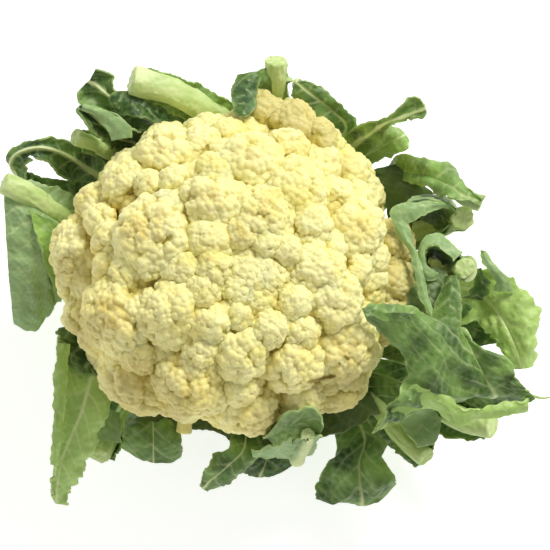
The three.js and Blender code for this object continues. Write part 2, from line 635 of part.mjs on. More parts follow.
// Joins two grids of points, rows along and columns across, into one closed surface.
function closedSheets(upper, lower, rowCount, columnCount) {
  const points = [...upper, ...lower];
  const offset = upper.length;
  const faces = [];
  const at = (i, j) => i * columnCount + j;
  const triangle = (a, b, c) => faces.push(a, b, c);
  for (let i = 0; i + 1 < rowCount; i += 1) {
    for (let j = 0; j + 1 < columnCount; j += 1) {
      const [a, b, c, d] = [at(i, j), at(i, j + 1), at(i + 1, j + 1), at(i + 1, j)];
      triangle(a, b, c);
      triangle(a, c, d);
      triangle(a + offset, c + offset, b + offset);
      triangle(a + offset, d + offset, c + offset);
    }
  }
  const rim = [];
  for (let j = 0; j + 1 < columnCount; j += 1) rim.push(at(0, j));
  for (let i = 0; i + 1 < rowCount; i += 1) rim.push(at(i, columnCount - 1));
  for (let j = columnCount - 1; j > 0; j -= 1) rim.push(at(rowCount - 1, j));
  for (let i = rowCount - 1; i > 0; i -= 1) rim.push(at(i, 0));
  rim.forEach((a, k) => {
    const b = rim[(k + 1) % rim.length];
    triangle(b, a, a + offset);
    triangle(b, a + offset, b + offset);
  });
  const geometry = new THREE.BufferGeometry().setFromPoints(points);
  geometry.setIndex(faces);
  geometry.computeVertexNormals();
  return geometry;
}

const CURD_FINISH = new THREE.MeshStandardMaterial({ color: 0xf3e8a8, roughness: 0.75 });
const STALK_FINISH = new THREE.MeshStandardMaterial({ color: 0xdfe3b0, roughness: 0.6 });
const LEAF_FINISH = new THREE.MeshStandardMaterial({ color: 0x4f8a35, roughness: 0.5 });

function named(name, geometry, finish) {
  const mesh = new THREE.Mesh(geometry, finish);
  mesh.name = name;
  return mesh;
}

const cauliflower = new THREE.Group();
cauliflower.add(named("curd", curdGeometry(), CURD_FINISH));
cauliflower.add(named("stalk", stalkGeometry(), STALK_FINISH));
Object.entries(LEAVES).forEach(([name, leaf], index) => {
  cauliflower.add(named(name, leafGeometry(leaf, index), LEAF_FINISH));
});

export default cauliflower;
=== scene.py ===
"""A trimmed head of cauliflower: curd, stalk and leaves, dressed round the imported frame."""

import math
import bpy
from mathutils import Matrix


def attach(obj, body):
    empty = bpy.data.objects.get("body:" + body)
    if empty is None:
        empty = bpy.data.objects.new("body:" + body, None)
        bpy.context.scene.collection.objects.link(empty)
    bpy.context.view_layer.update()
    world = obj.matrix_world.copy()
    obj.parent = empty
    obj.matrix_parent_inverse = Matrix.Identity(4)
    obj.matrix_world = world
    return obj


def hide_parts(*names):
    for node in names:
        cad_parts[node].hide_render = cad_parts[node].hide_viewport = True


bl_info = {
    "name": "Cauliflower Head",
    "version": (1, 0, 0),
    "blender": (4, 5, 0),
    "location": "View3D > Sidebar > Cauliflower",
    "description": "Grows a trimmed head of cauliflower round its packed frame",
    "category": "Add Mesh",
}

import bmesh
import bpy
import numpy as np
from mathutils import Vector

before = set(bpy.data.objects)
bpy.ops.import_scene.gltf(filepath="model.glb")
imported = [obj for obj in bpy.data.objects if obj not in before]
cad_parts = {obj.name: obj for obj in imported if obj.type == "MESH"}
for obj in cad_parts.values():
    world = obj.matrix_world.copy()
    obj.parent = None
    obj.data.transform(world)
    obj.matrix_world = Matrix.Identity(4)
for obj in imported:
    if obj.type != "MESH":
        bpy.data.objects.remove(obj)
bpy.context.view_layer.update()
BODY = "root"
MM = 0.001

# The head, in millimetres: the smooth form that its florets stand on.
HEAD_CENTRE = np.array((-5.0, 1.5, 75.0))
HEAD_HALF_WIDTH = 76.0
HEAD_HALF_DEPTH = 72.5
HEAD_RISE = 57.0
HEAD_DROP = 31.0
HEAD_UNDERSIDE_Z = 46.0
HEAD_LEAN = 0.14
CORE_SCALE = 0.82
CROWN_PASSES = 21
HEAD_SEED = 4177

# The stalk and the roots of the leaves.
STALK_RADIUS = 25.0
LEAF_ROOT_RADIUS = STALK_RADIUS + 2.2
LEAF_ROOT_HALF_WIDTH = 7.5
ROOT_RIB_HALF = 6.5
ROOT_RIB_DEPTH = 5.0
WHORL_Z = {"low": 10.0, "middle": 22.0, "high": 34.0}
PETIOLE_REACH = 12.0
PETIOLE_WIDENING = 1.0
PETIOLE_TURN = 0.3
PETIOLE_RISE = 0.28

# The head was measured from above, 12 degrees forward of plumb, with heights taken from
# its widest level.
VIEW_TILT = math.radians(12)
WIDEST_Z = 85.0

# Main florets of the crown: x, y as viewed, and the radius of the cap.
FLORETS = [
    (-38, 58, 13), (-56, 43, 10), (-44, 41, 6), (-32, 43, 6), (-19, 63, 8), (-6, 67, 7),
    (-11, 48, 9), (-34, 30, 7), (-71, 31, 8), (-67, 23, 7), (-79, 9, 13), (-79, -7, 8),
    (-42, 16, 17), (-63, 14, 7), (-41, 0, 5), (-14, 33, 14), (-15, 13, 9), (-28, 0, 7),
    (-63, 1, 5), (-53, -3, 7), (-12, 0, 7), (5, 55, 14), (19, 70, 11), (24, 61, 8),
    (29, 40, 14), (41, 58, 12), (58, 49, 12), (47, 36, 7), (63, 36, 8), (12, 27, 13),
    (35, 20, 9), (57, 18, 14), (1, 17, 7), (13, 12, 6), (23, 8, 6), (38, -1, 11),
    (44, 10, 6), (55, 0, 6), (65, 4, 6), (-58, -24, 17), (-46, -39, 9), (-33, -22, 13),
    (-13, -26, 9), (-17, -11, 7), (0, -40, 11), (-22, -54, 16), (-49, -55, 15), (-17, -38, 8),
    (-75, -23, 8), (0, -54, 7), (4, -66, 13), (0, -22, 5), (25, -16, 7), (13, -28, 8),
    (28, -29, 7), (45, -16, 12), (50, -38, 15), (25, -45, 11), (53, -58, 17), (69, -10, 8),
    (78, 8, 8), (79, -8, 10), (72, -33, 8), (28, -60, 9), (39, -46, 5), (9, -13, 6),
    (0, -8, 6), (11, -3, 6), (20, -3, 6), (4, 5, 6), (18, -11, 6), (6, -22, 5), (67, -45, 9),
]

# Florets set by rule round the rim: count, level, radius, turn, inset.
RIM_ROWS = [
    (20, 0.2, 11, 0.4, 0.93),
    (19, -0.12, 11, 0.1, 0.95),
    (16, -0.42, 11, 0.32, 0.95),
]
RIM_SCATTER = 0.3
FLORET_LEAST, FLORET_SPREAD = 0.85, 0.3

# A floret is a ball: its radius over its cap's, and how far its middle lies under its cap.
BALL_OVER_CAP = 1.12
BALL_SUNK = 0.55
BALL_LIFT = 2.0

# The CAD part draws this many numbers for the smaller florets on each large one. They are
# drawn here as well, so that the rim's florets come out the same.
SMALLEST_WITH_SUB_FLORETS = 8
SUB_FLORET_DRAWS = 10
GOLDEN_ANGLE = math.pi * (3 - math.sqrt(5))

# Where each leaf leaves the stalk (degrees from +X, whorl), the half width and depth of
# its rib, and stations from the curd outward: the rib, the left margin and the right
# margin as x, y, z in the view from above, then how far each side bows.
LEAVES = {
    "leaf_top": (86, "high", 5.2, 6, [
        ((15, 72, 60), (2, 71, 66), (24, 73, 60), 2, 0),
        ((17, 80, 76), (-3, 78, 84), (23, 79, 75), 3, 0),
        ((17, 89, 87), (1, 86, 91), (22, 88, 86), 3, 0),
        ((17, 97, 93), (9, 93, 93), (22, 96, 92), 1, 0),
    ]),
    "leaf_top_left_rib": (97, "middle", 6, 7, [
        ((-7, 70, 58), (-15, 66, 54), (0, 73, 60), 0, 0),
        ((-18, 77, 74), (-24, 69, 70), (-13, 83, 76), 0, 0),
        ((-33, 84, 84), (-38, 76, 81), (-28, 90, 86), 0, 0),
        ((-50, 88, 88), (-51, 81, 86), (-43, 94, 89), 0, 0),
    ]),
    "leaf_upper_left_lobes": (112, "low", 2.4, 2.5, [
        ((-31, 61, 40), (-40, 56, 38), (-20, 64, 42), 0, 0),
        ((-42, 70, 60), (-51, 62, 58), (-30, 75, 64), -2, -1),
        ((-53, 75, 76), (-61, 68, 74), (-45, 81, 78), -3, -2),
        ((-62, 81, 84), (-72, 76, 84), (-59, 84, 85), -3, -1),
        ((-68, 86, 86), (-77, 80, 84), (-60, 91, 90), -2, -2),
        ((-71, 88, 85), (-74, 86, 84), (-68, 93, 90), 0, 0),
    ]),
    "leaf_upper_left_fold": (127, "high", 1.6, 1.5, [
        ((-48, 57, 58), (-55, 53, 58), (-42, 63, 58), -1, 0),
        ((-57, 61, 84), (-62, 57, 88), (-49, 64, 92), -2, -2),
        ((-64, 67, 92), (-68, 63, 97), (-56, 70, 100), -2, -2),
        ((-70, 72, 95), (-73, 69, 99), (-66, 75, 101), -1, -1),
        ((-76, 75.4, 96), (-77, 74, 97), (-74, 76.5, 98), 0, 0),
    ]),
    "leaf_left_cut_rib": (142, "middle", 3.6, 4, [
        ((-52, 48, 46), (-58, 43, 46), (-47, 53, 47), 0, 0),
        ((-62, 54, 66), (-65, 50, 66), (-59, 59, 67), 0, 0),
        ((-69, 58.5, 80), (-71, 54, 80), (-66, 63, 81), 0, 0),
        ((-76, 61, 88), (-78, 57, 88), (-74, 65, 88), 0, 0),
    ]),
    "leaf_left_long": (157, "low", 2.4, 2.5, [
        ((-64, 40, 40), (-68, 32, 38), (-60, 48, 44), 0, 0),
        ((-74, 48, 62), (-76, 38, 58), (-70, 56, 68), -2, -1),
        ((-84, 54, 76), (-85, 44, 74), (-82, 60, 78), -3, -1),
        ((-94, 56.5, 82), (-91, 50, 80), (-92, 61, 82), -2, -1),
        ((-104, 54, 82), (-98, 51, 82), (-104, 58, 80), -2, -1),
        ((-108, 49, 76), (-101, 47, 78), (-109, 53, 74), -2, 0),
        ((-105, 44, 71), (-100, 42, 73), (-107, 45, 69), 0, 0),
    ]),
    "leaf_left_hanging": (178, "middle", 4.2, 4.5, [
        ((-75, 16, 50), (-77, -8, 48), (-72, 28, 52), 0, 0),
        ((-88, 24, 68), (-85, -15, 50), (-82, 36, 68), 4, 1),
        ((-97, 31, 76), (-89.5, -19, 48), (-93, 40, 76), 5, 1),
        ((-105, 36, 79), (-97, -30, 45), (-102, 42, 78), 5, 1),
        ((-111, 39, 80), (-107, -26, 46), (-109, 43, 79), 5, 0),
    ]),
    "leaf_lower_left_long": (194, "high", 2.2, 2.5, [
        ((-60, -28, 46), (-54, -38, 44), (-68, -18, 48), 0, 0),
        ((-67, -42, 60), (-58, -50, 52), (-85, -31, 64), 2, -2),
        ((-71, -57, 64), (-61, -63, 56), (-83, -47, 68), 3, -2),
        ((-74, -68, 62), (-65, -75, 54), (-85.5, -64, 66), 3, -2),
        ((-79, -79, 56), (-71, -87, 48), (-86.5, -79, 61), 3, -2),
        ((-84, -91, 47), (-75, -97, 40), (-87, -92, 51), 2, -1),
        ((-86.5, -103, 36), (-80, -105, 32), (-89, -103, 38), 1, 0),
        ((-87, -111, 28), (-83.5, -111, 26), (-89, -108, 30), 0, 0),
    ]),
    "leaf_lower_left_cut_rib": (206, "low", 4.5, 5, [
        ((-50, -56, 20), (-42, -62, 22), (-58, -50, 20), 0, 0),
        ((-58, -70, 27), (-52, -77, 32), (-66, -64, 26), -3, 0),
        ((-63, -79, 33), (-56, -84, 38), (-70, -76, 33), -3, 0),
        ((-67, -88, 38), (-60, -90, 40), (-72, -86, 38), 0, 0),
    ]),
    "leaf_bottom_left_square": (226, "middle", 2.2, 2.2, [
        ((-38, -62, 38), (-28, -64, 38), (-47, -58, 38), 0, 0),
        ((-41, -72, 47), (-29, -72, 45), (-54, -72, 48), 2, 2),
        ((-41, -82, 46), (-27.5, -82, 43), (-55, -79, 47), 3, 3),
        ((-41, -91.5, 38), (-28, -89, 34), (-56, -85, 41), 2, 2),
    ]),
    "leaf_bottom_lens": (250, "high", 1.6, 1.6, [
        ((1, -70, 42), (8, -70, 42), (-6, -69, 42), 0, 0),
        ((2, -84, 52), (10, -85, 50), (-5, -83, 51), 1, 1),
        ((-5, -92, 49), (2, -95, 45), (-13, -89, 47), 2, 2),
        ((-13, -99, 40), (-7, -102, 37), (-17, -97, 38), 1, 1),
        ((-17.5, -104, 31), (-15, -105, 30), (-18.5, -102, 30), 0, 0),
    ]),
    "leaf_bottom_dark": (246, "low", 2.2, 2.4, [
        ((15, -70, 22), (25, -70, 24), (5, -70, 22), 0, 0),
        ((15, -82, 28), (29, -84, 32), (2, -84, 27), 2, 2),
        ((12, -92, 26), (26, -92, 28), (0, -94, 24), 2, 2),
        ((9, -99, 21), (16, -98.5, 23), (3, -98, 19), 0, 0),
    ]),
    "leaf_bottom_curl": (266, "middle", 3.4, 4, [
        ((24, -70, 38), (32, -69, 40), (14, -71, 38), 0, 0),
        ((26, -88, 56), (34, -86, 56), (16, -87, 54), 0, 0),
        ((28.5, -85, 68), (35.5, -82, 68), (21, -85, 68), -1, -1),
        ((32, -76.5, 84), (37.5, -76.5, 82), (27, -79, 80), -1, -1),
    ]),
    "leaf_bottom_right_large": (284, "low", 3, 3.2, [
        ((48, -62, 18), (57, -58, 20), (38, -65, 18), 0, 0),
        ((59, -80, 25), (71, -76, 30), (46, -86, 22), 2, 2),
        ((57, -92, 26), (67, -90, 30), (40, -94, 22), 3, 3),
        ((57, -101, 23), (73, -98, 28), (37, -102, 18), 4, 4),
        ((58, -108, 17), (73, -104, 22), (35.5, -108, 12), 3, 3),
        ((58, -112.5, 12), (66, -112, 15), (38, -111.5, 9), 0, 0),
    ]),
    "leaf_lower_right_short_rib": (302, "middle", 4.2, 4.8, [
        ((62, -60, 38), (72, -52, 42), (54, -67, 36), 0, 0),
        ((75, -75, 46), (94, -66, 52), (68, -82, 42), -3, 0),
        ((82, -84, 50), (90, -78, 54), (76, -88, 46), -2, 0),
        ((87, -90, 51), (91.5, -85, 53), (82, -94, 49), 0, 0),
    ]),
    "leaf_lower_right_cut_rib": (318, "low", 5, 5.5, [
        ((78, -56, 20), (85, -47, 24), (72, -64, 18), 0, 0),
        ((96, -68, 27), (102, -58, 33), (92, -78, 23), -2, -1),
        ((108, -73, 33), (111, -64, 38), (104, -81, 29), -2, -1),
        ((119, -75, 38), (121, -68, 40), (115, -81, 35), 0, 0),
    ]),
    "leaf_over_curd": (336, "high", 2.6, 3, [
        ((84, -38, 46), (89, -30, 46), (78, -46, 46), 0, 0),
        ((108, -56, 58), (104, -46, 62), (113, -66, 58), 0, 0),
        ((119, -60, 76), (64, -76, 84), (135, -61, 80), -6, -2),
        ((114, -50, 86), (74, -58, 96), (130, -53, 86), 5, 2),
        ((109, -41, 91), (78, -45, 102), (123, -42, 90), 5, 2),
        ((104, -31, 94), (66, -28, 113), (110, -37, 93), 5, 1),
        ((101, -27, 95), (55, -20, 121), (103, -28, 94), 4, 0),
    ]),
    "leaf_right_large": (352, "low", 2.8, 3, [
        ((88, -8, 26), (88, 2, 28), (88, -17, 26), 0, 0),
        ((104, -9, 42), (106, -1, 46), (101, -19, 42), 0, 0),
        ((112, -12, 58), (112, 0, 66), (104, -27, 56), -2, -2),
        ((119, -17, 66), (125, -3, 72), (111, -26, 60), 2, -2),
        ((125, -27, 68), (139, -19, 70), (119, -32, 62), 3, 2),
        ((130, -38, 66), (140, -32, 66), (124, -40, 60), 3, 2),
        ((133, -47, 62), (137.5, -47, 62), (126.5, -48, 58), 0, 0),
    ]),
    "leaf_right_small_curl": (4, "middle", 4.6, 5, [
        ((84, 2, 46), (84, 8, 48), (84, -4, 46), 0, 0),
        ((97, 1, 60), (90, 9, 66), (90, -7, 64), -4, -4),
        ((103, 0, 76), (90, 11, 85), (87, -7, 84), -8, -8),
        ((105, 0, 92), (99, 8, 92), (98, -6, 91), -3, -3),
    ]),
    "leaf_right_curl": (15, "high", 5, 5.5, [
        ((80, 15, 52), (78, 24, 54), (82, 8, 52), 0, 0),
        ((94, 21, 64), (84, 31, 72), (89, 14, 70), -3, -2),
        ((101, 23, 78), (80, 32, 90), (92, 17, 84), -8, -3),
        ((104, 23, 91), (74, 27, 101), (98, 18, 91), -7, -1),
    ]),
    "leaf_right_upper": (30, "low", 3.2, 3.5, [
        ((70, 40, 38), (68, 46, 40), (74, 34, 38), 0, 0),
        ((77, 46, 66), (75, 53.5, 79), (76, 41, 66), 1, 0),
        ((87, 43, 86), (88, 50.5, 89), (84, 39, 88), 3, 2),
        ((97, 38, 97), (101, 47, 92), (93, 35, 99), 3, 2),
        ((105, 33, 99), (105, 38, 97), (101, 31, 101), 1, 0),
        ((113, 30.3, 99), (113, 32.3, 99), (112, 28.5, 99), 0, 0),
    ]),
    "leaf_right_round_lobe": (49, "middle", 1.8, 2, [
        ((56, 51, 46), (50, 57, 46), (60, 47, 46), 0, 0),
        ((66, 57, 60), (62, 63, 60), (71, 53, 59), 2, 1),
        ((73, 61, 68), (69, 67, 67), (78, 56, 66), 3, 1),
        ((78, 63, 68), (75, 66, 67), (80, 60, 67), 0, 0),
    ]),
    "leaf_right_ladle": (50, "high", 2, 2.4, [
        ((52, 56, 60), (47, 60, 60), (58, 52, 60), 0, 0),
        ((61, 63, 80), (56, 67, 80), (66, 58, 79), -2, -2),
        ((68, 68, 88), (66, 70, 89), (70, 66, 88), 0, 0),
        ((76, 70.8, 91), (73, 73, 93), (77, 69.3, 91), -1, 0),
        ((82, 73, 92), (79, 79, 96), (83, 70.3, 92), -2, -1),
        ((87, 75, 93), (84.5, 79.5, 95), (87.5, 72, 92), 0, 0),
    ]),
    "leaf_top_right": (68, "low", 3, 3.2, [
        ((44, 58, 40), (38, 60, 40), (52, 54, 40), 0, 0),
        ((50, 68, 60), (44, 65, 58), (56, 66, 60), 0, 0),
        ((42, 76, 72), (36, 68, 68), (48, 77, 72), 2, 1),
        ((34, 82, 79), (27, 75, 76), (39, 84, 79), 2, 1),
        ((26, 88, 84), (24, 82, 83), (31, 88, 84), 0, 0),
    ]),
}


class Draw:
    """The head's own repeatable random draws between 0 and 1."""

    MASK = 0xFFFFFFFF
    STRIDE = 0x6D2B79F5

    def __init__(self, seed):
        self.state = seed

    def __call__(self):
        self.state = (self.state + self.STRIDE) & self.MASK
        mixed = ((self.state ^ (self.state >> 15)) * (self.state | 1)) & self.MASK
        mixed ^= (mixed + (((mixed ^ (mixed >> 7)) * (mixed | 61)) & self.MASK)) & self.MASK
        return ((mixed ^ (mixed >> 14)) & self.MASK) / (self.MASK + 1)

    def size(self, usual):
        """A size near the usual one."""
        return usual * (FLORET_LEAST + FLORET_SPREAD * self())


def unit(vectors):
    """Vectors at a length of one."""
    lengths = np.linalg.norm(vectors, axis=-1, keepdims=True)
    return vectors / np.maximum(lengths, 1e-9)


def smoothstep(x, low, high):
    """0 below low, 1 above high, and smooth between."""
    s = np.clip((x - low) / (high - low), 0, 1)
    return s * s * (3 - 2 * s)


def waves(points, length, seed, count=9):
    """A smooth repeatable wobble, about -1 to 1, with waves of about the given length."""
    random = np.random.default_rng(seed)
    total = np.zeros(points.shape[0])
    for _ in range(count):
        heading = unit(random.normal(size=points.shape[1]))
        pace = 2 * np.pi / (length * random.uniform(0.7, 1.4))
        total += np.sin(points @ heading * pace + random.uniform(0, 2 * np.pi))
    return total / math.sqrt(count)


def viewed(place):
    """A place in the view from above as one in the frame's own millimetres."""
    x, y, z = place
    return np.array((x, (y - (z - WIDEST_Z) * math.sin(VIEW_TILT)) / math.cos(VIEW_TILT), z))


def envelope_radius(directions):
    """Distance from the head's centre to its smooth outer form."""
    above = directions[..., 2] > 0
    leaned = directions[..., 1] + np.where(above, HEAD_LEAN * directions[..., 2], 0)
    rise = np.where(above, HEAD_RISE, HEAD_DROP)
    squares = (directions[..., 0] / HEAD_HALF_WIDTH) ** 2 + (leaned / HEAD_HALF_DEPTH) ** 2
    return 1 / np.sqrt(squares + (directions[..., 2] / rise) ** 2)


def crown_point(x, y):
    """The place on the smooth form that is seen at x, y in the view from above."""
    z = WIDEST_Z
    for _ in range(CROWN_PASSES):
        place = viewed((x, y, z))
        away = place - HEAD_CENTRE
        flat = math.hypot(away[0] / HEAD_HALF_WIDTH, away[1] / HEAD_HALF_DEPTH)
        level = math.sqrt(max(0, 1 - min(flat, 1) ** 2))
        z = 0.5 * (z + HEAD_CENTRE[2] + HEAD_RISE * level)
    aim = unit(away)
    return aim * envelope_radius(aim) + HEAD_CENTRE


def turned_to(outward, spin=0.0):
    """A matrix whose third row is outward, so that points @ matrix stand on it."""
    helper = np.array((0.0, 0.0, 1.0)) if abs(outward[2]) < 0.9 else np.array((1.0, 0.0, 0.0))
    side = unit(np.cross(helper, outward))
    other = np.cross(outward, side)
    c, s = math.cos(spin), math.sin(spin)
    return np.stack((side * c + other * s, other * c - side * s, outward))


# Places of the florets

# The young middle of the head has broad low domes of small buds: x, y as viewed and the
# radius of the cap. The smallest florets, in whose place they stand, aren't shown.
APEX_PLACES = [(0, -8), (11, -3), (20, -3), (4, 5), (18, -11), (9, -13), (6, -22)]
APEX_DOMES = [(8, -4, 15), (17, -8, 12), (1, -12, 9), (9, -16, 10)]
APEX_SUNK = 0.5
APEX_BUD = 2.9

# The rows that florets are counted in: the crown, three rows of rim from 1 on, the low
# florets that fill the gaps, and those that aren't shown.
CROWN_ROW, FILL_ROW, HIDDEN_ROW = 0, 4, 5

# The florets as shown are this much wider than in the CAD part, with the same tops.
SHOWN_SWELL = 1.06

# A bud's radius as a share of its floret's, and its limits.
BUD_SHARE = 0.4
BUD_LEAST, BUD_MOST = 2.9, 5.4

# Florets in the shade at the top and the right rim, dulled with painted shade: x, y as viewed, z,
# and radius.
SHADED_FLORETS = [
    (10, 71, 87, 11), (24, 67, 89, 11), (36, 61, 87, 9), (70, 10, 86, 11),
    (70, -7, 84, 12), (69, -23, 82, 11),
]
SHADED_FLORET_PAINTED_SHADE = 0.75

# Low florets that fill the hollows between the others.
FILL_COUNT = 150
FILL_RADIUS = 8.5
FILL_SUNK = 9.5
FILL_LOWEST = -0.35
FILL_FLATTENING = 0.8


def floret_of(centre, outward, radius, row, dull=0.0, bud=None):
    """A floret: its ball, the way it faces, its row, how much painted shade dulls it and its buds'
    size.
    """
    return {
        "centre": centre, "outward": outward, "radius": radius, "row": row, "dull": dull,
        "bud": bud or min(max(BUD_SHARE * radius, BUD_LEAST), BUD_MOST),
    }


def shaded_florets():
    """The florets of the rim that are dulled with painted shade, by their centres."""
    florets = []
    for x, y, z, radius in SHADED_FLORETS:
        centre = viewed((x, y, z))
        outward = unit(centre - HEAD_CENTRE)
        florets.append(floret_of(centre, outward, radius, CROWN_ROW, SHADED_FLORET_PAINTED_SHADE))
    return florets


def head_florets():
    """The main florets of the crown and the rows of florets round the rim."""
    draw = Draw(HEAD_SEED)
    florets = []

    def add(place, cap, row):
        outward = unit(place - HEAD_CENTRE)
        ball = cap * BALL_OVER_CAP
        centre = place - outward * (ball * BALL_SUNK - BALL_LIFT)
        shown = ball * SHOWN_SWELL
        florets.append(floret_of(centre - outward * (shown - ball), outward, shown, row))
        if cap >= SMALLEST_WITH_SUB_FLORETS:
            for _ in range(SUB_FLORET_DRAWS):
                draw()

    for x, y, cap in FLORETS:
        add(crown_point(x, y), cap, HIDDEN_ROW if (x, y) in APEX_PLACES else CROWN_ROW)
    for row, (count, level, radius, turn, inset) in enumerate(RIM_ROWS, 1):
        for i in range(count):
            angle = math.tau * (i + turn + RIM_SCATTER * draw()) / count
            flat = math.sqrt(1 - level**2)
            aim = np.array((math.cos(angle) * flat, math.sin(angle) * flat, level))
            place = aim * envelope_radius(aim) * inset + HEAD_CENTRE
            add(place, draw.size(radius), row)
    return florets


def apex_florets():
    """The broad domes of the young middle."""
    florets = []
    for x, y, cap in APEX_DOMES:
        place = crown_point(x, y)
        outward = unit(place - HEAD_CENTRE)
        ball = cap * BALL_OVER_CAP
        centre = place - outward * (ball - BALL_LIFT + APEX_SUNK)
        florets.append(floret_of(centre, outward, ball, CROWN_ROW, bud=APEX_BUD))
    return florets


def fill_florets():
    """Low florets, evenly spread over the head, between and under the main ones."""
    draw = Draw(HEAD_SEED + 1)
    florets = []
    for i in range(FILL_COUNT):
        z = 1 - (1 - FILL_LOWEST) * (i + 0.5) / FILL_COUNT
        flat = math.sqrt(1 - z * z)
        turn = i * GOLDEN_ANGLE
        aim = unit(np.array((math.cos(turn) * flat, math.sin(turn) * flat, z * FILL_FLATTENING)))
        radius = draw.size(FILL_RADIUS)
        centre = HEAD_CENTRE + aim * (envelope_radius(aim) - FILL_SUNK)
        florets.append(floret_of(centre, aim, radius, FILL_ROW))
    return florets


# The curd's reach from the head's centre is kept in steps of this many degrees, with the
# florets taken this much wider for their buds. The leaves keep clear of it.
REACH_STEP = 3.0
REACH_SWELL = 1.16
REACH_SMOOTHINGS = 2
LEAF_CLEARANCE = 1.6


def ball_exit(aims, centre, radius):
    """How far rays from the origin run before they leave a ball; 0 where they miss."""
    return leaving(aims @ centre, centre @ centre, radius)


def ball_exits(aims, centres, radii):
    """The same for several balls, one column for each."""
    return leaving(aims @ centres.T, (centres**2).sum(axis=1), radii)


def leaving(along, square, radius):
    """Where rays leave balls, from how far along them the balls' middles are."""
    half = radius**2 - (square - along**2)
    return np.where(half > 0, along + np.sqrt(np.maximum(half, 0)), 0)


def reach_table():
    """How far the curd reaches in each direction, smoothed: rows of height, then turn."""
    heights = np.radians(np.arange(-90, 91, REACH_STEP))
    turns = np.radians(np.arange(0, 360, REACH_STEP))
    up, round_ = np.meshgrid(heights, turns, indexing="ij")
    aims = np.stack(
        (np.cos(up) * np.cos(round_), np.cos(up) * np.sin(round_), np.sin(up)), axis=-1
    )
    reach = envelope_radius(aims) * CORE_SCALE
    for floret in HEAD_FLORETS:
        radius = floret["radius"] * REACH_SWELL / SHOWN_SWELL
        exits = ball_exit(aims, floret["centre"] - HEAD_CENTRE, radius)
        reach = np.maximum(reach, exits)
    reach = np.max([np.roll(reach, k, axis=1) for k in (-1, 0, 1)], axis=0)
    one_row_more = ((1, 1), (0, 0))
    padded = np.pad(reach, one_row_more, mode="edge")
    reach = np.max([padded[:-2], padded[1:-1], padded[2:]], axis=0)
    for _ in range(REACH_SMOOTHINGS):
        padded = np.pad(reach, one_row_more, mode="edge")
        reach = (padded[:-2] + 2 * padded[1:-1] + padded[2:]) / 4
        reach = (np.roll(reach, -1, axis=1) + 2 * reach + np.roll(reach, 1, axis=1)) / 4
    return reach


HEAD_FLORETS = head_florets()
REACH = reach_table()


def curd_reach(aims):
    """The smoothed reach of the curd along each unit direction."""
    row = (np.degrees(np.arcsin(np.clip(aims[..., 2], -1, 1))) + 90) / REACH_STEP
    column = (np.degrees(np.arctan2(aims[..., 1], aims[..., 0])) % 360) / REACH_STEP
    r0 = np.clip(np.floor(row).astype(int), 0, REACH.shape[0] - 2)
    c0 = np.floor(column).astype(int) % REACH.shape[1]
    c1 = (c0 + 1) % REACH.shape[1]
    fr, fc = row - r0, column - np.floor(column)
    low = REACH[r0, c0] * (1 - fc) + REACH[r0, c1] * fc
    high = REACH[r0 + 1, c0] * (1 - fc) + REACH[r0 + 1, c1] * fc
    reach = low * (1 - fr) + high * fr
    floor = HEAD_CENTRE[2] - HEAD_UNDERSIDE_Z
    under = aims[..., 2] * reach < -floor
    return np.where(under, -floor / np.minimum(aims[..., 2], -1e-6), reach)


def clear_of_curd(points):
    """Moves points out of the curd, away from the head's centre."""
    away = points - HEAD_CENTRE
    distance = np.linalg.norm(away, axis=-1)
    aims = unit(away)
    nearest = curd_reach(aims) + LEAF_CLEARANCE
    short = np.maximum(nearest - distance, 0)
    return points + aims * short[..., None]


# Meshes

def deselect():
    """Leaves object mode with nothing selected."""
    if bpy.context.object and bpy.context.object.mode != "OBJECT":
        bpy.ops.object.mode_set(mode="OBJECT")
    bpy.ops.object.select_all(action="DESELECT")


def select_only(piece):
    """Makes a piece the only one selected, and the active one."""
    deselect()
    piece.select_set(True)
    bpy.context.view_layer.objects.active = piece


def just_added(name):
    """The object that an operator has just added, under its name."""
    piece = bpy.context.object
    piece.name = piece.data.name = name
    return piece


def places_of(mesh):
    """The mesh's vertices in millimetres."""
    places = np.empty(len(mesh.vertices) * 3)
    mesh.vertices.foreach_get("co", places)
    return places.reshape(-1, 3) / MM


def put_places(mesh, places):
    """Sets the mesh's vertices from millimetres."""
    mesh.vertices.foreach_set("co", (places * MM).ravel())
    mesh.update()


def normals_of(mesh):
    """The mesh's vertex normals."""
    normals = np.empty(len(mesh.vertices) * 3)
    mesh.vertex_normals.foreach_get("vector", normals)
    return normals.reshape(-1, 3)


def put_values(mesh, name, values):
    """Stores one number for each vertex under a name that a material can read."""
    layer = mesh.attributes.get(name) or mesh.attributes.new(name, "FLOAT", "POINT")
    layer.data.foreach_set("value", np.asarray(values, dtype=np.float32))


def put_one_value(mesh, **values):
    """Stores the same number for every vertex, under each name given."""
    for name, value in values.items():
        put_values(mesh, name, np.full(len(mesh.vertices), value))


def triangles_of(mesh):
    """The corners of a mesh of triangles, three indices a face."""
    corners = np.empty(len(mesh.loops), dtype=np.int32)
    mesh.loops.foreach_get("vertex_index", corners)
    return corners.reshape(-1, 3)


def mesh_of_triangles(name, places, triangles):
    """A new mesh object from points in millimetres and triangles."""
    mesh = bpy.data.meshes.new(name)
    mesh.vertices.add(len(places))
    mesh.vertices.foreach_set("co", (places * MM).ravel())
    mesh.loops.add(triangles.size)
    mesh.loops.foreach_set("vertex_index", triangles.ravel().astype(np.int32))
    mesh.polygons.add(len(triangles))
    mesh.polygons.foreach_set("loop_start", np.arange(0, triangles.size, 3, dtype=np.int32))
    mesh.update(calc_edges=True)
    piece = bpy.data.objects.new(name, mesh)
    bpy.context.scene.collection.objects.link(piece)
    return piece


def shade(piece, degrees=60.0):
    """Smooth shading, with edges where faces meet more sharply."""
    select_only(piece)
    bpy.ops.object.shade_smooth_by_angle(angle=math.radians(degrees))


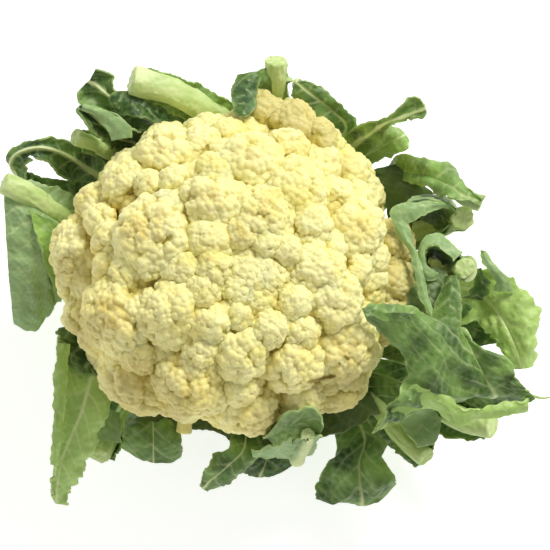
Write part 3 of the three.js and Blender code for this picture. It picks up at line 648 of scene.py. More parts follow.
def finished(piece, slot, nodes, *materials):
    """Dresses a piece, hangs it on the body and hides the frame's parts that it takes the place
    of.
    """
    piece.data.materials.clear()
    for material in materials:
        piece.data.materials.append(material)
    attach(piece, BODY)
    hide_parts(*nodes)
    return piece


# Finishes

# The materials by finish, made once by main.
FINISHES = {}


class Nodes:
    """A short way to build a node tree."""

    def __init__(self, tree):
        self.tree = tree

    def feed(self, socket, value):
        """Links a value into a socket, or sets it there."""
        if isinstance(value, bpy.types.NodeSocket):
            self.tree.links.new(value, socket)
        else:
            socket.default_value = value

    def add(self, kind, values=None, **settings):
        """A node of one kind, with its settings and what goes into its sockets."""
        node = self.tree.nodes.new("ShaderNode" + kind)
        for name, value in settings.items():
            setattr(node, name, value)
        for key, value in (values or {}).items():
            self.feed(node.inputs[key], value)
        return node

    def value(self, name):
        """What the mesh's vertices hold under a name."""
        return self.add("Attribute", attribute_name=name).outputs["Fac"]

    def math(self, operation, a, b=0.0):
        """The result of one step of arithmetic."""
        return self.add("Math", {0: a, 1: b}, operation=operation).outputs[0]

    def ramp(self, value, low, high, to_low=0.0, to_high=1.0):
        """A value brought smoothly from one range to another."""
        keys = {"Value": value, "From Min": low, "From Max": high}
        keys.update({"To Min": to_low, "To Max": to_high})
        return self.add("MapRange", keys, interpolation_type="SMOOTHSTEP").outputs[0]

    def mix(self, factor, a, b):
        """One colour turned towards another."""
        node = self.add("Mix", {0: factor, 6: a, 7: b}, data_type="RGBA")
        return node.outputs[2]

    def group(self, tree, values):
        """The outputs of a node group with its own values."""
        return self.add("Group", values, node_tree=tree).outputs

    def surface(self, shader, skin, roughness, height, distance, strength):
        """Gives a shader its colour, its roughness and a bump from a height."""
        self.feed(shader.inputs["Base Color"], skin)
        relief = {"Height": height, "Distance": distance, "Strength": strength}
        self.feed(shader.inputs["Normal"], self.add("Bump", relief).outputs[0])
        shader.inputs["Roughness"].default_value = roughness


def colour(red, green, blue):
    """A colour as seen, 0 to 255, in the light's own scale."""
    def linear(channel):
        c = channel / 255
        return c / 12.92 if c <= 0.04045 else ((c + 0.055) / 1.055) ** 2.4
    return (linear(red), linear(green), linear(blue), 1.0)


def grain_group():
    """Shared fine grain: soft spots, small grains, and the grains' height."""
    tree = bpy.data.node_groups.new("Fine grain", "ShaderNodeTree")
    face = tree.interface
    for name, usual in (("Spot size", 0.01), ("Grain size", 0.001)):
        face.new_socket(name, in_out="INPUT", socket_type="NodeSocketFloat").default_value = usual
    for name in ("Spots", "Grains", "Height"):
        face.new_socket(name, in_out="OUTPUT", socket_type="NodeSocketFloat")
    n = Nodes(tree)
    given = tree.nodes.new("NodeGroupInput").outputs
    result = tree.nodes.new("NodeGroupOutput").inputs
    place = n.add("TexCoord").outputs["Object"]
    spot_scale = n.math("DIVIDE", 1.0, given["Spot size"])
    grain_scale = n.math("DIVIDE", 1.0, given["Grain size"])
    cloud = {"Vector": place, "Scale": spot_scale, "Detail": 7.0, "Roughness": 0.62}
    spots = n.add("TexNoise", cloud).outputs["Fac"]
    cells = {"Vector": place, "Scale": grain_scale}
    grains = n.add("TexVoronoi", cells, feature="SMOOTH_F1").outputs["Distance"]
    n.feed(result["Spots"], spots)
    n.feed(result["Grains"], grains)
    n.feed(result["Height"], n.math("SUBTRACT", 1.0, grains))
    return tree


def new_material(name):
    """An empty node material with its surface shader: the material, nodes and shader."""
    material = bpy.data.materials.new(name)
    material.use_nodes = True
    tree = material.node_tree
    return material, Nodes(tree), tree.nodes["Principled BSDF"]


def curd_material(grain, look):
    """Pale yellow buds, ochre on sunned patches, with painted shade: darker ochre in their
    crevices, brown in deep hollows and a duller olive in shade.
    """
    material, n, shader = new_material("Curd buds")
    fine = n.group(grain, {"Spot size": 0.018, "Grain size": 0.0011})
    sunk = n.value("sunk")
    spots = n.ramp(fine["Spots"], 0.42, 0.72)
    tops = n.mix(spots, tuple(look.bud_colour), colour(242, 230, 140))
    tops = n.mix(n.math("MULTIPLY", n.value("tint"), 0.75), tops, tuple(look.patch_colour))
    # Painted shade: florets and places that lie in shade are turned a duller olive.
    tops = n.mix(n.value("dull"), tops, colour(206, 192, 118))
    # Painted shade in the crevices between buds: a darker ochre low on each floret.
    crevices = n.ramp(n.value("depth"), 0.3, 0.72, 0.7, 0.0)
    tops = n.mix(crevices, tops, colour(204, 192, 100))
    # Painted shade in the hollows: the deeper a place lies under the curd's outer reach, the
    # darker it is, down to brown.
    lower = n.mix(n.ramp(sunk, 8.0, 13.0), colour(206, 190, 100), colour(134, 114, 46))
    skin = n.mix(n.ramp(sunk, 3.5, 8.0), tops, lower)
    n.surface(shader, skin, 0.6, fine["Height"], 0.0005, 0.5)
    shader.inputs["Specular IOR Level"].default_value = 0.3
    shader.inputs["Subsurface Weight"].default_value = 0.38
    shader.inputs["Subsurface Radius"].default_value = (1.0, 0.8, 0.4)
    shader.inputs["Subsurface Scale"].default_value = 0.0025
    return material


def stalk_material(grain):
    """Pale green stalk, a little rough, with darker spots."""
    material, n, shader = new_material("Stalk skin")
    fine = n.group(grain, {"Spot size": 0.008, "Grain size": 0.0016})
    skin = n.mix(n.ramp(fine["Spots"], 0.35, 0.7), colour(214, 220, 160), colour(188, 200, 128))
    n.surface(shader, skin, 0.5, fine["Height"], 0.0004, 0.4)
    return material


def cut_material(grain):
    """A fresh cut across a rib or the stalk: pale, moist, with darker strands."""
    material, n, shader = new_material("Fresh cut")
    fine = n.group(grain, {"Spot size": 0.004, "Grain size": 0.0012})
    face = n.mix(n.ramp(fine["Grains"], 0.1, 0.5), colour(242, 242, 196), colour(255, 255, 236))
    n.surface(shader, face, 0.4, fine["Height"], 0.0002, 0.4)
    return material


def leaf_material(grain, look, name="Leaf skin", light=1.0):
    """Leaf skin: dark upper face, greyer back, pale veins and ribs, with painted shade toward near
    black when light is below one.
    """
    material, n, shader = new_material(name)
    fine = n.group(grain, {"Spot size": 0.012, "Grain size": 0.0024})
    dark = n.mix(n.value("tone"), tuple(look.dark_colour), tuple(look.light_colour))
    paler = n.mix(0.25, dark, colour(128, 170, 84))
    blade = n.mix(n.ramp(fine["Spots"], 0.42, 0.7), dark, paler)
    blade = n.mix(n.ramp(fine["Spots"], 0.45, 0.3, 0.0, 0.2), blade, colour(30, 58, 24))
    blade = n.mix(n.math("MULTIPLY", n.value("back"), 0.7), blade, tuple(look.back_colour))
    net = n.ramp(fine["Grains"], 0.35, 0.75)
    blade = n.mix(n.math("MULTIPLY", net, 0.24), blade, colour(150, 185, 105))
    blade = n.mix(n.math("MULTIPLY", n.value("edge"), 0.6), blade, colour(196, 220, 128))
    skin = n.mix(n.value("vein"), blade, tuple(look.vein_colour))
    # Painted shade: the skin is darkened toward near black by the share of light that is missing.
    if light < 1:
        skin = n.mix(1.0 - light, skin, colour(10, 18, 6))
    n.surface(shader, skin, 0.5, fine["Height"], 0.0008, 0.75)
    shader.inputs["Specular IOR Level"].default_value = 0.4
    return material


# What a user can change

class CurdLook(bpy.types.PropertyGroup):
    """Sizes and colours of the curd."""

    fineness: bpy.props.FloatProperty(
        name="Fineness", description="Longest edge of the buds' faces, in millimetres",
        default=0.48, min=0.3, max=3.0,
    )
    bud_colour: bpy.props.FloatVectorProperty(
        name="Buds", description="Colour of the buds' tops", subtype="COLOR", size=4,
        default=colour(246, 240, 172), min=0.0, max=1.0,
    )
    patch_colour: bpy.props.FloatVectorProperty(
        name="Patches", description="Colour of sunned patches", subtype="COLOR", size=4,
        default=colour(222, 196, 96), min=0.0, max=1.0,
    )


class LeafLook(bpy.types.PropertyGroup):
    """Sizes and colours of the leaves."""

    thickness: bpy.props.FloatProperty(
        name="Thickness", description="Thickness of the blades", subtype="DISTANCE",
        unit="LENGTH", default=0.001, min=0.0006, max=0.003, precision=4,
    )
    step: bpy.props.FloatProperty(
        name="Fineness", description="Spacing of the blades' points, in millimetres",
        default=0.95, min=0.5, max=4.0,
    )
    dark_colour: bpy.props.FloatVectorProperty(
        name="Dark", description="Darkest green of the upper faces", subtype="COLOR", size=4,
        default=colour(36, 70, 20), min=0.0, max=1.0,
    )
    light_colour: bpy.props.FloatVectorProperty(
        name="Light", description="Lightest green of the upper faces", subtype="COLOR", size=4,
        default=colour(156, 196, 92), min=0.0, max=1.0,
    )
    back_colour: bpy.props.FloatVectorProperty(
        name="Back", description="Grey green of the backs", subtype="COLOR", size=4,
        default=colour(150, 176, 126), min=0.0, max=1.0,
    )
    vein_colour: bpy.props.FloatVectorProperty(
        name="Veins", description="Pale green of veins and ribs", subtype="COLOR", size=4,
        default=colour(222, 232, 166), min=0.0, max=1.0,
    )


class StageLook(bpy.types.PropertyGroup):
    """The floor, the light and the camera."""

    distance: bpy.props.FloatProperty(
        name="Camera distance", description="From the camera to what it looks at",
        subtype="DISTANCE", unit="LENGTH", default=3.0, min=0.5, max=10.0,
    )
    elevation: bpy.props.FloatProperty(
        name="Elevation", description="Height of the camera above the horizon",
        subtype="ANGLE", unit="ROTATION", default=math.radians(78), min=0.0, max=math.pi / 2,
    )
    view_width: bpy.props.FloatProperty(
        name="View width", description="Width of the view where the camera looks",
        subtype="DISTANCE", unit="LENGTH", default=0.2571, min=0.1, max=2.0,
    )


# Florets

# How deep a floret's buds and their budlets sit in what carries them, how closely they
# stand, and how far round they go.
BUD_SUNK = 0.66
BUD_AREA = 2.1
BUD_GROWTH = 1.7
BUD_UNDER_BUDLETS = 0.94
BUDLET_SHARE = 0.36
BUDLET_SUNK = 0.52
BUDLET_AREA = 2.5
BUDLET_EDGE = 1.6
DOME_EDGE = math.radians(102)

# How much the buds differ in size, how far they stray from their spiral, how far past its
# own radius a bud is felt, and the most of its floret's radius that this may be.
BUD_SIZES = (0.84, 1.16)
BUD_STRAY = 0.22
BUD_REACH = 1.1
BUD_WIDEST = 0.9
SPIRAL_SAMPLES = 200

# A floret as shares of its radius: the ball under its buds, how much its surface swells
# and over what length, and the width and height of its stem's rings.
UNDER_BUDS = 0.9
SWELL_HEIGHT = 0.055
SWELL_LENGTH = 1.3
STEM_RINGS = ((0.8, -0.45), (0.5, -0.9), (0.3, -2.2))

# The stems bend towards a place inside the head: from how deep on and over what length, as
# shares of the radius, and how far.
FLORET_HUB = np.array((0.0, 0.0, 52.0))
STEM_BEND_FROM, STEM_BEND_OVER = 0.5, 1.7
HUB_PULL = 0.8


def floret_template(cuts):
    """A unit dome on a short tapering stem: its points and its triangles."""
    deselect()
    bpy.ops.mesh.primitive_ico_sphere_add(subdivisions=1, radius=1.0)
    dome = bpy.context.object
    bpy.ops.object.mode_set(mode="EDIT")
    bpy.ops.mesh.select_all(action="SELECT")
    bpy.ops.mesh.subdivide(number_cuts=cuts - 1)
    bpy.ops.object.mode_set(mode="OBJECT")
    put_places(dome.data, unit(places_of(dome.data)) / MM)
    bpy.ops.object.mode_set(mode="EDIT")
    bpy.ops.mesh.select_all(action="SELECT")
    level = math.cos(DOME_EDGE)
    bpy.ops.mesh.bisect(plane_co=(0, 0, level), plane_no=(0, 0, 1), clear_inner=True)
    for width, height in STEM_RINGS:
        bpy.ops.mesh.select_all(action="DESELECT")
        select_open_edges(dome.data)
        bpy.ops.mesh.extrude_edges_move()
        place_open_ring(dome.data, width, height)
    bpy.ops.mesh.select_all(action="DESELECT")
    select_open_edges(dome.data)
    bpy.ops.mesh.edge_face_add()
    bpy.ops.mesh.select_all(action="SELECT")
    bpy.ops.mesh.quads_convert_to_tris()
    bpy.ops.mesh.normals_make_consistent(inside=False)
    bpy.ops.object.mode_set(mode="OBJECT")
    points = places_of(dome.data) * MM
    triangles = triangles_of(dome.data)
    bpy.data.objects.remove(dome)
    return points, triangles


def select_open_edges(mesh):
    """Selects the edges that have a face on one side only."""
    work = bmesh.from_edit_mesh(mesh)
    for edge in work.edges:
        if edge.is_boundary:
            edge.select = True
    work.select_flush_mode()
    bmesh.update_edit_mesh(mesh)


def place_open_ring(mesh, width, height):
    """Brings the open ring of a floret's stem to a width and a height."""
    work = bmesh.from_edit_mesh(mesh)
    ring = {v for e in work.edges if e.is_boundary for v in e.verts}
    for vertex in ring:
        flat = Vector((vertex.co.x, vertex.co.y)).normalized() * width
        vertex.co = (flat.x, flat.y, height)
    bmesh.update_edit_mesh(mesh)


def spiral_buds(random, carrier, bud, widest, area, growth):
    """Buds set in a spiral over a ball, small in the middle and larger outward.

    Gives their directions and their radii. area is what one bud covers, over its radius
    squared, and growth is the outermost bud's size over the middle one's."""
    angles = np.linspace(0, widest, SPIRAL_SAMPLES)
    sizes = bud * (1 + (growth - 1) * angles / widest) * 2 / (1 + growth)
    crowd = 2 * np.pi * np.sin(angles) * carrier**2 / (area * sizes**2)
    number = np.concatenate(([0], np.cumsum((crowd[1:] + crowd[:-1]) / 2 * np.diff(angles))))
    i = np.arange(max(4, int(number[-1])))
    angle = np.interp(i + 0.5, number, angles)
    radii = np.interp(angle, angles, sizes) * random.uniform(*BUD_SIZES, len(i))
    loose = BUD_STRAY * radii / carrier
    turn = i * GOLDEN_ANGLE + random.uniform(0, math.tau)
    turn = turn + random.normal(0, 1, len(i)) * loose / np.maximum(np.sin(angle), 0.2)
    angle = angle + random.normal(0, 1, len(i)) * loose
    flat = np.sin(angle)
    heads = np.stack((flat * np.cos(turn), flat * np.sin(turn), np.cos(angle)), axis=1)
    return heads, radii


def floret_surface(aims, floret, random):
    """How far a floret reaches along each aim, and how high each point stands on it."""
    radius = floret["radius"]
    base = radius * UNDER_BUDS
    reach = np.full(len(aims), base)
    bud = floret["bud"]
    heads, sizes = spiral_buds(random, radius, bud, DOME_EDGE, BUD_AREA, BUD_GROWTH)
    for head, size in zip(heads, sizes):
        centre = head * (radius - size * BUD_SUNK)
        wide = math.asin(min(size * BUD_REACH / radius, BUD_WIDEST))
        near = np.nonzero(aims @ head > math.cos(wide))[0]
        if not len(near):
            continue
        local = aims[near]
        part = ball_exit(local, centre, size * BUD_UNDER_BUDLETS)
        tips, small = spiral_buds(
            random, size, size * BUDLET_SHARE, BUDLET_EDGE, BUDLET_AREA, 1.0
        )
        centres = centre + (tips @ turned_to(head)) * (size - small * BUDLET_SUNK)[:, None]
        exits = ball_exits(local, centres, small)
        reach[near] = np.maximum(reach[near], np.maximum(part, exits.max(axis=1)))
    top = radius + bud * (1 - BUD_SUNK)
    return reach, np.clip((reach - base) / (top - base), 0, 1)


def floret_points(points, floret, random):
    """One floret's points in the frame, with their depth values."""
    dome = points[:, 2] >= math.cos(DOME_EDGE) - 1e-3
    aims = unit(points[dome])
    turn = turned_to(floret["outward"], random.uniform(0, math.tau))
    radius = floret["radius"]
    reach, height = floret_surface(aims, floret, random)
    swell = 1 + SWELL_HEIGHT * waves(aims, SWELL_LENGTH, int(random.integers(1 << 30)), 5)
    placed = np.empty_like(points)
    placed[dome] = (aims * (reach * swell)[:, None]) @ turn
    stem = points[~dome] * radius
    hub = FLORET_HUB - floret["centre"]
    placed[~dome] = stem @ turn
    bend = (-stem[:, 2] - STEM_BEND_FROM * radius) / (STEM_BEND_OVER * radius)
    bend = np.clip(bend, 0, 1)[:, None]
    placed[~dome] += (hub * HUB_PULL - placed[~dome]) * bend * HUB_PULL
    depth = np.zeros(len(points))
    depth[dome] = height
    return placed + floret["centre"], depth


# Sunned ochre patches: x, y as viewed and radius.
PATCHES = [
    (-57, -22, 11), (-22, -56, 12), (-27, -48, 7), (-42, 16, 9), (-48, -48, 8), (5, 55, 7),
    (57, 18, 8), (-14, 33, 8), (1, 17, 7), (-74, -6, 6), (34, 60, 6), (50, -38, 10),
    (-64, -18, 7), (-38, 24, 7), (13, 29, 6),
]

# Painted shadow along slits and specks: the two ends of a line as viewed, and its half width. They
# are darkened with the painted shade of places this many millimetres deeper.
SHADOW_SLITS = [(32, -52.5, 44, -50, 1.1), (49, -41, 50, -42, 0.9), (46, -44, 46.5, -44.5, 0.6)]
SLIT_SHADOW_DEPTH = 12

# Places low on the head that are dulled to olive with painted shade: x, y as viewed and radius.
LOW_SHADE_PLACES = [
    (-47, -57, 17), (-32, -66, 9), (-72, -30, 10), (50, -60, 15), (16, -74, 12), (-78, 0, 9),
]
LOW_PAINTED_SHADE = 0.7

# The curd's ochre: how much differs from floret to floret, how much a sunned patch has and
# how it is mottled, and how much lies over them in broad clouds.
FLORET_OCHRE = 0.15
PATCH_OCHRE, PATCH_MOTTLE, PATCH_MOTTLE_LENGTH = 0.45, 0.3, 6
CLOUD_OCHRE = 0.3
CLOUD_LENGTH = 26
CLOUD_EDGE = (0.7, 1.8)

# How much coarser the faces are in each row: the crown, three rows of rim, and the fill.
ROW_COARSENESS = (1.0, 1.25, 1.6, 1.6, 1.9)
FACES_OVER_EDGE = 1.05

# Unit florets by how finely their faces are cut, made once by the florets' operator.
TEMPLATES = {}
TEMPLATE_CUTS = (9, 12, 15, 18, 22, 26, 31, 36, 41)

# The curd's pieces: the part, the rows in it, and how many sectors it is cut into.
CURD_PARTS = (("crown", (CROWN_ROW,), 6), ("rim", (1, 2, 3), 4), ("fill", (FILL_ROW,), 3))


def seen_from_above(places):
    """The x, y of places in the view from above."""
    lower = (places[:, 2] - WIDEST_Z) * math.sin(VIEW_TILT)
    return np.stack((places[:, 0], places[:, 1] * math.cos(VIEW_TILT) + lower), axis=1)


def near_places(places, rounds, fall):
    """How near each place is to the given rounds as viewed, 1 at their middles."""
    view = seen_from_above(places)
    nearest = np.zeros(len(places))
    for x, y, radius in rounds:
        away = np.hypot(view[:, 0] - x, view[:, 1] - y) / radius
        nearest = np.maximum(nearest, np.exp(-(away**fall)))
    return nearest


def patch_tint(places):
    """How ochre each place is, 0 to 1."""
    mottle = PATCH_MOTTLE * waves(places, PATCH_MOTTLE_LENGTH, 72)
    return near_places(places, PATCHES, fall=2) * (PATCH_OCHRE + mottle)


def slit_shadow_depth(places):
    """How much deeper the painted shadow along the slits makes each place look, in millimetres."""
    view = seen_from_above(places)
    depth = np.zeros(len(places))
    for x0, y0, x1, y1, half in SHADOW_SLITS:
        run = np.array((x1 - x0, y1 - y0))
        share = np.clip(((view - (x0, y0)) @ run) / (run @ run), 0, 1)
        away = np.linalg.norm(view - (x0, y0) - share[:, None] * run, axis=1)
        depth = np.maximum(depth, SLIT_SHADOW_DEPTH * np.exp(-((away / half) ** 2)))
    return depth


def nearest_template(radius, fineness):
    """The unit floret whose faces come nearest to the wanted size at a radius."""
    cuts = int(round(FACES_OVER_EDGE * radius / fineness))
    return TEMPLATES[min(TEMPLATES, key=lambda known: abs(known - cuts))]


def grow_florets(name, florets, fineness, seed):
    """One piece of the curd from its florets."""
    random = np.random.default_rng(seed)
    grown = []
    count = 0
    for floret in florets:
        edge = fineness * ROW_COARSENESS[floret["row"]]
        points, faces = nearest_template(floret["radius"], edge)
        placed, depth = floret_points(points, floret, random)
        tint = np.full(len(points), random.uniform(0, FLORET_OCHRE))
        dull = np.full(len(points), floret["dull"])
        grown.append((placed, faces + count, depth, tint, dull))
        count += len(points)
    places, faces, depth, tint, dull = (np.concatenate(part) for part in zip(*grown))
    piece = mesh_of_triangles(name, places, faces)
    tint += CLOUD_OCHRE * smoothstep(waves(places, CLOUD_LENGTH, 71), *CLOUD_EDGE)
    tint += patch_tint(places)
    away = places - HEAD_CENTRE
    sunk = curd_reach(unit(away)) - np.linalg.norm(away, axis=1)
    # The painted shade of the hollows and of the slits is read from this depth.
    put_values(piece.data, "sunk", sunk + slit_shadow_depth(places))
    put_values(piece.data, "depth", depth)
    put_values(piece.data, "tint", np.clip(tint, 0, 1))
    # Painted shade: places low on the head are dulled to olive.
    dull = np.maximum(dull, LOW_PAINTED_SHADE * near_places(places, LOW_SHADE_PLACES, fall=4))
    put_values(piece.data, "dull", dull)
    shade(piece, degrees=75)
    return finished(piece, "curd", ["curd"], FINISHES["curd"])


def sector_of(floret, count):
    """The sector of the head that a floret stands in, seen from above."""
    away = floret["centre"] - HEAD_CENTRE
    return int((math.atan2(away[1], away[0]) + math.pi) / math.tau * count) % count


class MESH_OT_cauliflower_florets(bpy.types.Operator):
    """Grow the florets of the crown and of the rim"""

    bl_idname = "mesh.cauliflower_florets"
    bl_label = "Florets"

    def execute(self, context):
        look = context.scene.cauliflower_curd
        for cuts in TEMPLATE_CUTS:
            TEMPLATES[cuts] = floret_template(cuts)
        florets = HEAD_FLORETS + apex_florets() + shaded_florets() + fill_florets()
        for part, rows, count in CURD_PARTS:
            for sector in range(count):
                chosen = [
                    f for f in florets if f["row"] in rows and sector_of(f, count) == sector
                ]
                name = f"curd_{part}_{sector + 1}"
                grow_florets(name, chosen, look.fineness, len(name) + sector)
        return {"FINISHED"}


# The core under the florets: how rough its surface is and over what length, as shares of
# its size, how far its underside lies above the head's, and how much and over what length
# that waves.
CORE_ROUGHNESS, CORE_WAVE_LENGTH = 0.03, 0.35
CORE_LIFT = 3
CORE_FLOOR_WAVE, CORE_FLOOR_WAVE_LENGTH = 1.2, 14


class MESH_OT_cauliflower_core(bpy.types.Operator):
    """Shape the core under the florets"""

    bl_idname = "mesh.cauliflower_core"
    bl_label = "Core"

    def execute(self, context):
        deselect()
        bpy.ops.mesh.primitive_ico_sphere_add(subdivisions=6, radius=1.0)
        core = just_added("curd_core")
        aims = unit(places_of(core.data))
        reach = envelope_radius(aims) * CORE_SCALE
        reach *= 1 + CORE_ROUGHNESS * waves(aims, CORE_WAVE_LENGTH, 5)
        places = HEAD_CENTRE + aims * reach[:, None]
        floor = CORE_FLOOR_WAVE * waves(places[:, :2], CORE_FLOOR_WAVE_LENGTH, 6)
        floor = HEAD_UNDERSIDE_Z + CORE_LIFT + floor
        places[:, 2] = np.maximum(places[:, 2], floor)
        put_places(core.data, places)
        # The core lies under the florets, so it takes the curd's deepest painted shade and is
        # dulled as well.
        put_one_value(core.data, sunk=14.0, depth=0.02, tint=0.3, dull=0.5)
        shade(core)
        finished(core, "curd", ["curd"], FINISHES["curd"])
        return {"FINISHED"}


# Leaves

# Waves along a blade's margin and its teeth, as height, length in millimetres and the
# number added to the leaf's seed.
MARGIN_SWING = ((1.0, 15, 0), (0.5, 7, 1))
MARGIN_TEETH = ((0.8, 8, 2), (0.5, 3.2, 3))

# A blade's creases: how far they rise between, how deep and how far apart they are, and
# the height and length of the bumps between them. They fade in from the rib.
CREASE_RISE, CREASE_DEPTH, CREASE_LENGTH = 0.7, 1.1, 30
BUMP_HEIGHT, BUMP_LENGTH = 0.25, 9
CREASE_FADE = (1.5, 6)

# The two sides of a blade take their waves this far apart, so that they differ.
WAVES_APART, VEINS_APART = 40.0, 50

# Side veins: how far apart they leave the rib and the share of that which lies straight
# across them, how they slant and bend, how far and over what length they wander, how wide
# they are at the rib, and how much they thin out and fade, in millimetres. The finer veins
# that cross them come after, with how strong they are and from where they fade in.
VEIN_GAP, VEIN_ACROSS = 9.5, 0.8
VEIN_SLANT, VEIN_BEND = 0.75, 0.012
VEIN_WANDER, VEIN_WANDER_LENGTH = 1.6, 24
VEIN_WIDTH, VEIN_THINNING, VEIN_FADING = 0.62, 0.34, 0.6
CROSS_GAP, CROSS_ACROSS, CROSS_SLANT = 4.6, 0.7, 0.9
CROSS_WANDER, CROSS_WANDER_LENGTH = 1.2, 13
CROSS_WIDTH, CROSS_STRENGTH = 0.45, 0.35
CROSS_FADE_IN = (2, 6)

# A blade's skin: how deep its veins lie and how high it puffs up between them, how strongly
# its rib is coloured and from where to where that fades, as shares of its half width, how
# strongly its veins above and below and its margins are coloured, and its blotches.
VEIN_GROOVE = 0.35
PUFF_HEIGHT, PUFF_LENGTH = 0.2, 5
RIB_TINT = 0.8
RIB_FADE = (0.55, 1.05)
VEINS_ABOVE, VEINS_BELOW = 0.4, 0.55
MARGIN_TINT, MARGIN_WIDTH = 0.45, 1.3
BLOTCH_LENGTH = 16

# The spacing of a blade's points on its petiole, and how far along a leaf its rib goes
# from its width at the stalk to its own.
PETIOLE_STEP = 2.4
RIB_NARROWING = 0.45

# How many places a leaf's and a cut rib's lines are measured at, and how far each way along
# a leaf its slope is taken.
LEAF_SAMPLES, RIB_SAMPLES = 400, 200
SLOPE_REACH = 0.02


def along_stations(rows, t):
    """A smooth curve through the rows of each station, at t from 0 to 1."""
    last = len(rows) - 1
    at = np.minimum(t, 1) * last
    k = np.minimum(np.floor(at).astype(int), last - 1)
    u = (at - k)[:, None]
    a, b = rows[k], rows[k + 1]
    before, after = rows[np.maximum(k - 1, 0)], rows[np.minimum(k + 2, last)]
    in_slope, out_slope, rise = (b - before) / 2, (after - a) / 2, b - a
    curve = (3 * rise - 2 * in_slope - out_slope) * u**2
    return a + in_slope * u + curve + (in_slope + out_slope - 2 * rise) * u**3


def station_rows(degrees, whorl, stations):
    """A leaf's stations in the frame: two by rule at the stalk, then the measured ones."""
    angle = math.radians(degrees)
    outward = np.array((math.cos(angle), math.sin(angle), 0.0))
    leftward = np.array((-outward[1], outward[0], 0.0))
    rows = [
        np.concatenate((viewed(rib), viewed(left), viewed(right), (left_bow, right_bow)))
        for rib, left, right, left_bow, right_bow in stations
    ]
    first = rows[0][:3]

    def root_row(reach, height, half_width, pull):
        rib = outward * reach + (0, 0, height)
        rib = rib + (np.array((first[0], first[1], height)) - rib) * pull
        sides = (rib + leftward * half_width, rib - leftward * half_width)
        return np.concatenate((rib, *sides, (0, 0)))

    z = WHORL_Z[whorl]
    middle_z = z + PETIOLE_RISE * (first[2] - z)
    root = root_row(LEAF_ROOT_RADIUS, z, LEAF_ROOT_HALF_WIDTH, 0)
    wider = LEAF_ROOT_HALF_WIDTH + PETIOLE_WIDENING
    petiole = root_row(LEAF_ROOT_RADIUS + PETIOLE_REACH, middle_z, wider, PETIOLE_TURN)
    return np.stack([root, petiole, *rows])


def layered(points, layers, seed):
    """Waves of several heights and lengths together."""
    return sum(height * waves(points, length, seed + more) for height, length, more in layers)


def creases(sheet, seed):
    """Sharp creases over a blade, with bumps between them."""
    sharp = np.abs(waves(sheet, CREASE_LENGTH, seed + 8))
    return CREASE_RISE - CREASE_DEPTH * sharp + BUMP_HEIGHT * waves(sheet, BUMP_LENGTH, seed + 9)


def leaf_middle(rows, t, v, blade, seed):
    """The middle surface of a leaf at t along its rib and v across it, -1 at the left."""
    row = along_stations(rows, t)
    rib, left, right = row[:, 0:3], row[:, 3:6], row[:, 6:9]
    ahead = along_stations(rows, np.minimum(t + SLOPE_REACH, 1))[:, :3]
    behind = along_stations(rows, np.maximum(t - SLOPE_REACH, 0))[:, :3]
    up = unit(np.cross(ahead - behind, left - right))
    share = np.abs(v)
    margin = np.where(v[:, None] < 0, left, right)
    width = np.linalg.norm(margin - rib, axis=1)
    side = (v > 0) * WAVES_APART
    length = along_length(rows, t) + side
    line = np.stack((length, side), axis=1)
    sheet = np.stack((length, share * width), axis=1)
    free = smoothstep(t, *blade["free"])
    bow = np.where(v < 0, row[:, 9], row[:, 10])
    swing = layered(line, MARGIN_SWING, seed)
    lift = bow * 4 * share * (1 - share) + blade["ruffle"] * free * swing * share**2
    lift += blade["crumple"] * free * creases(sheet, seed) * smoothstep(sheet[:, 1], *CREASE_FADE)
    grow = blade["teeth"] * free * layered(line, MARGIN_TEETH, seed) * share**6
    outward = unit(margin - rib)
    place = rib + (margin - rib) * share[:, None] + up * lift[:, None] + outward * grow[:, None]
    return clear_of_curd(place)


def measured(rows, samples):
    """Values of t from 0 to 1, and the length in millimetres along the rib to each."""
    fine = np.linspace(0, 1, samples)
    line = along_stations(rows, fine)[:, :3]
    steps = np.linalg.norm(np.diff(line, axis=0), axis=1)
    return fine, np.concatenate(([0], np.cumsum(steps)))


def along_length(rows, t):
    """Length along the rib from the stalk to t, in millimetres."""
    return np.interp(t, *measured(rows, LEAF_SAMPLES))


def even_steps(rows, step, coarse, free_from):
    """Values of t, coarsely spaced on the petiole and finely from where the blade is free."""
    fine, lengths = measured(rows, LEAF_SAMPLES)
    spacing = np.where(fine < free_from, coarse, step)
    pace = np.concatenate(([0], np.cumsum(np.diff(lengths) / spacing[1:])))
    count = max(8, int(round(pace[-1])))
    return np.interp(np.linspace(0, pace[-1], count + 1), pace, fine)


def side_steps(rows, step):
    """Values of v, evenly spaced on each side of the rib, with the rib among them."""
    row = along_stations(rows, np.linspace(0, 1, 60))
    left = np.linalg.norm(row[:, 3:6] - row[:, 0:3], axis=1).max()
    right = np.linalg.norm(row[:, 6:9] - row[:, 0:3], axis=1).max()
    on_left, on_right = (max(5, int(round(width / step))) for width in (left, right))
    return np.concatenate((np.linspace(-1, 0, on_left + 1), np.linspace(0, 1, on_right + 1)[1:]))


def stripes(place, gap, share):
    """How far each place is from the nearest of evenly spaced lines, times a share."""
    return np.abs((place / gap) % 1 - 0.5) * gap * share


def vein_lines(line, share, seed):
    """Side veins that leave the rib at a slant and thin out towards the margin.

    line holds each point's length along the rib and its reach from it."""
    length, reach = line.T
    root = length - VEIN_SLANT * reach - VEIN_BEND * reach**2
    root = root + VEIN_WANDER * waves(line, VEIN_WANDER_LENGTH, seed)
    width = VEIN_WIDTH - VEIN_THINNING * share
    veins = np.exp(-((stripes(root, VEIN_GAP, VEIN_ACROSS) / width) ** 2))
    veins = veins * (1 - VEIN_FADING * share)
    cross = length + CROSS_SLANT * reach
    cross = cross + CROSS_WANDER * waves(line, CROSS_WANDER_LENGTH, seed + 5)
    finer = np.exp(-((stripes(cross, CROSS_GAP, CROSS_ACROSS) / CROSS_WIDTH) ** 2))
    return np.maximum(veins, finer * CROSS_STRENGTH * smoothstep(reach, *CROSS_FADE_IN))


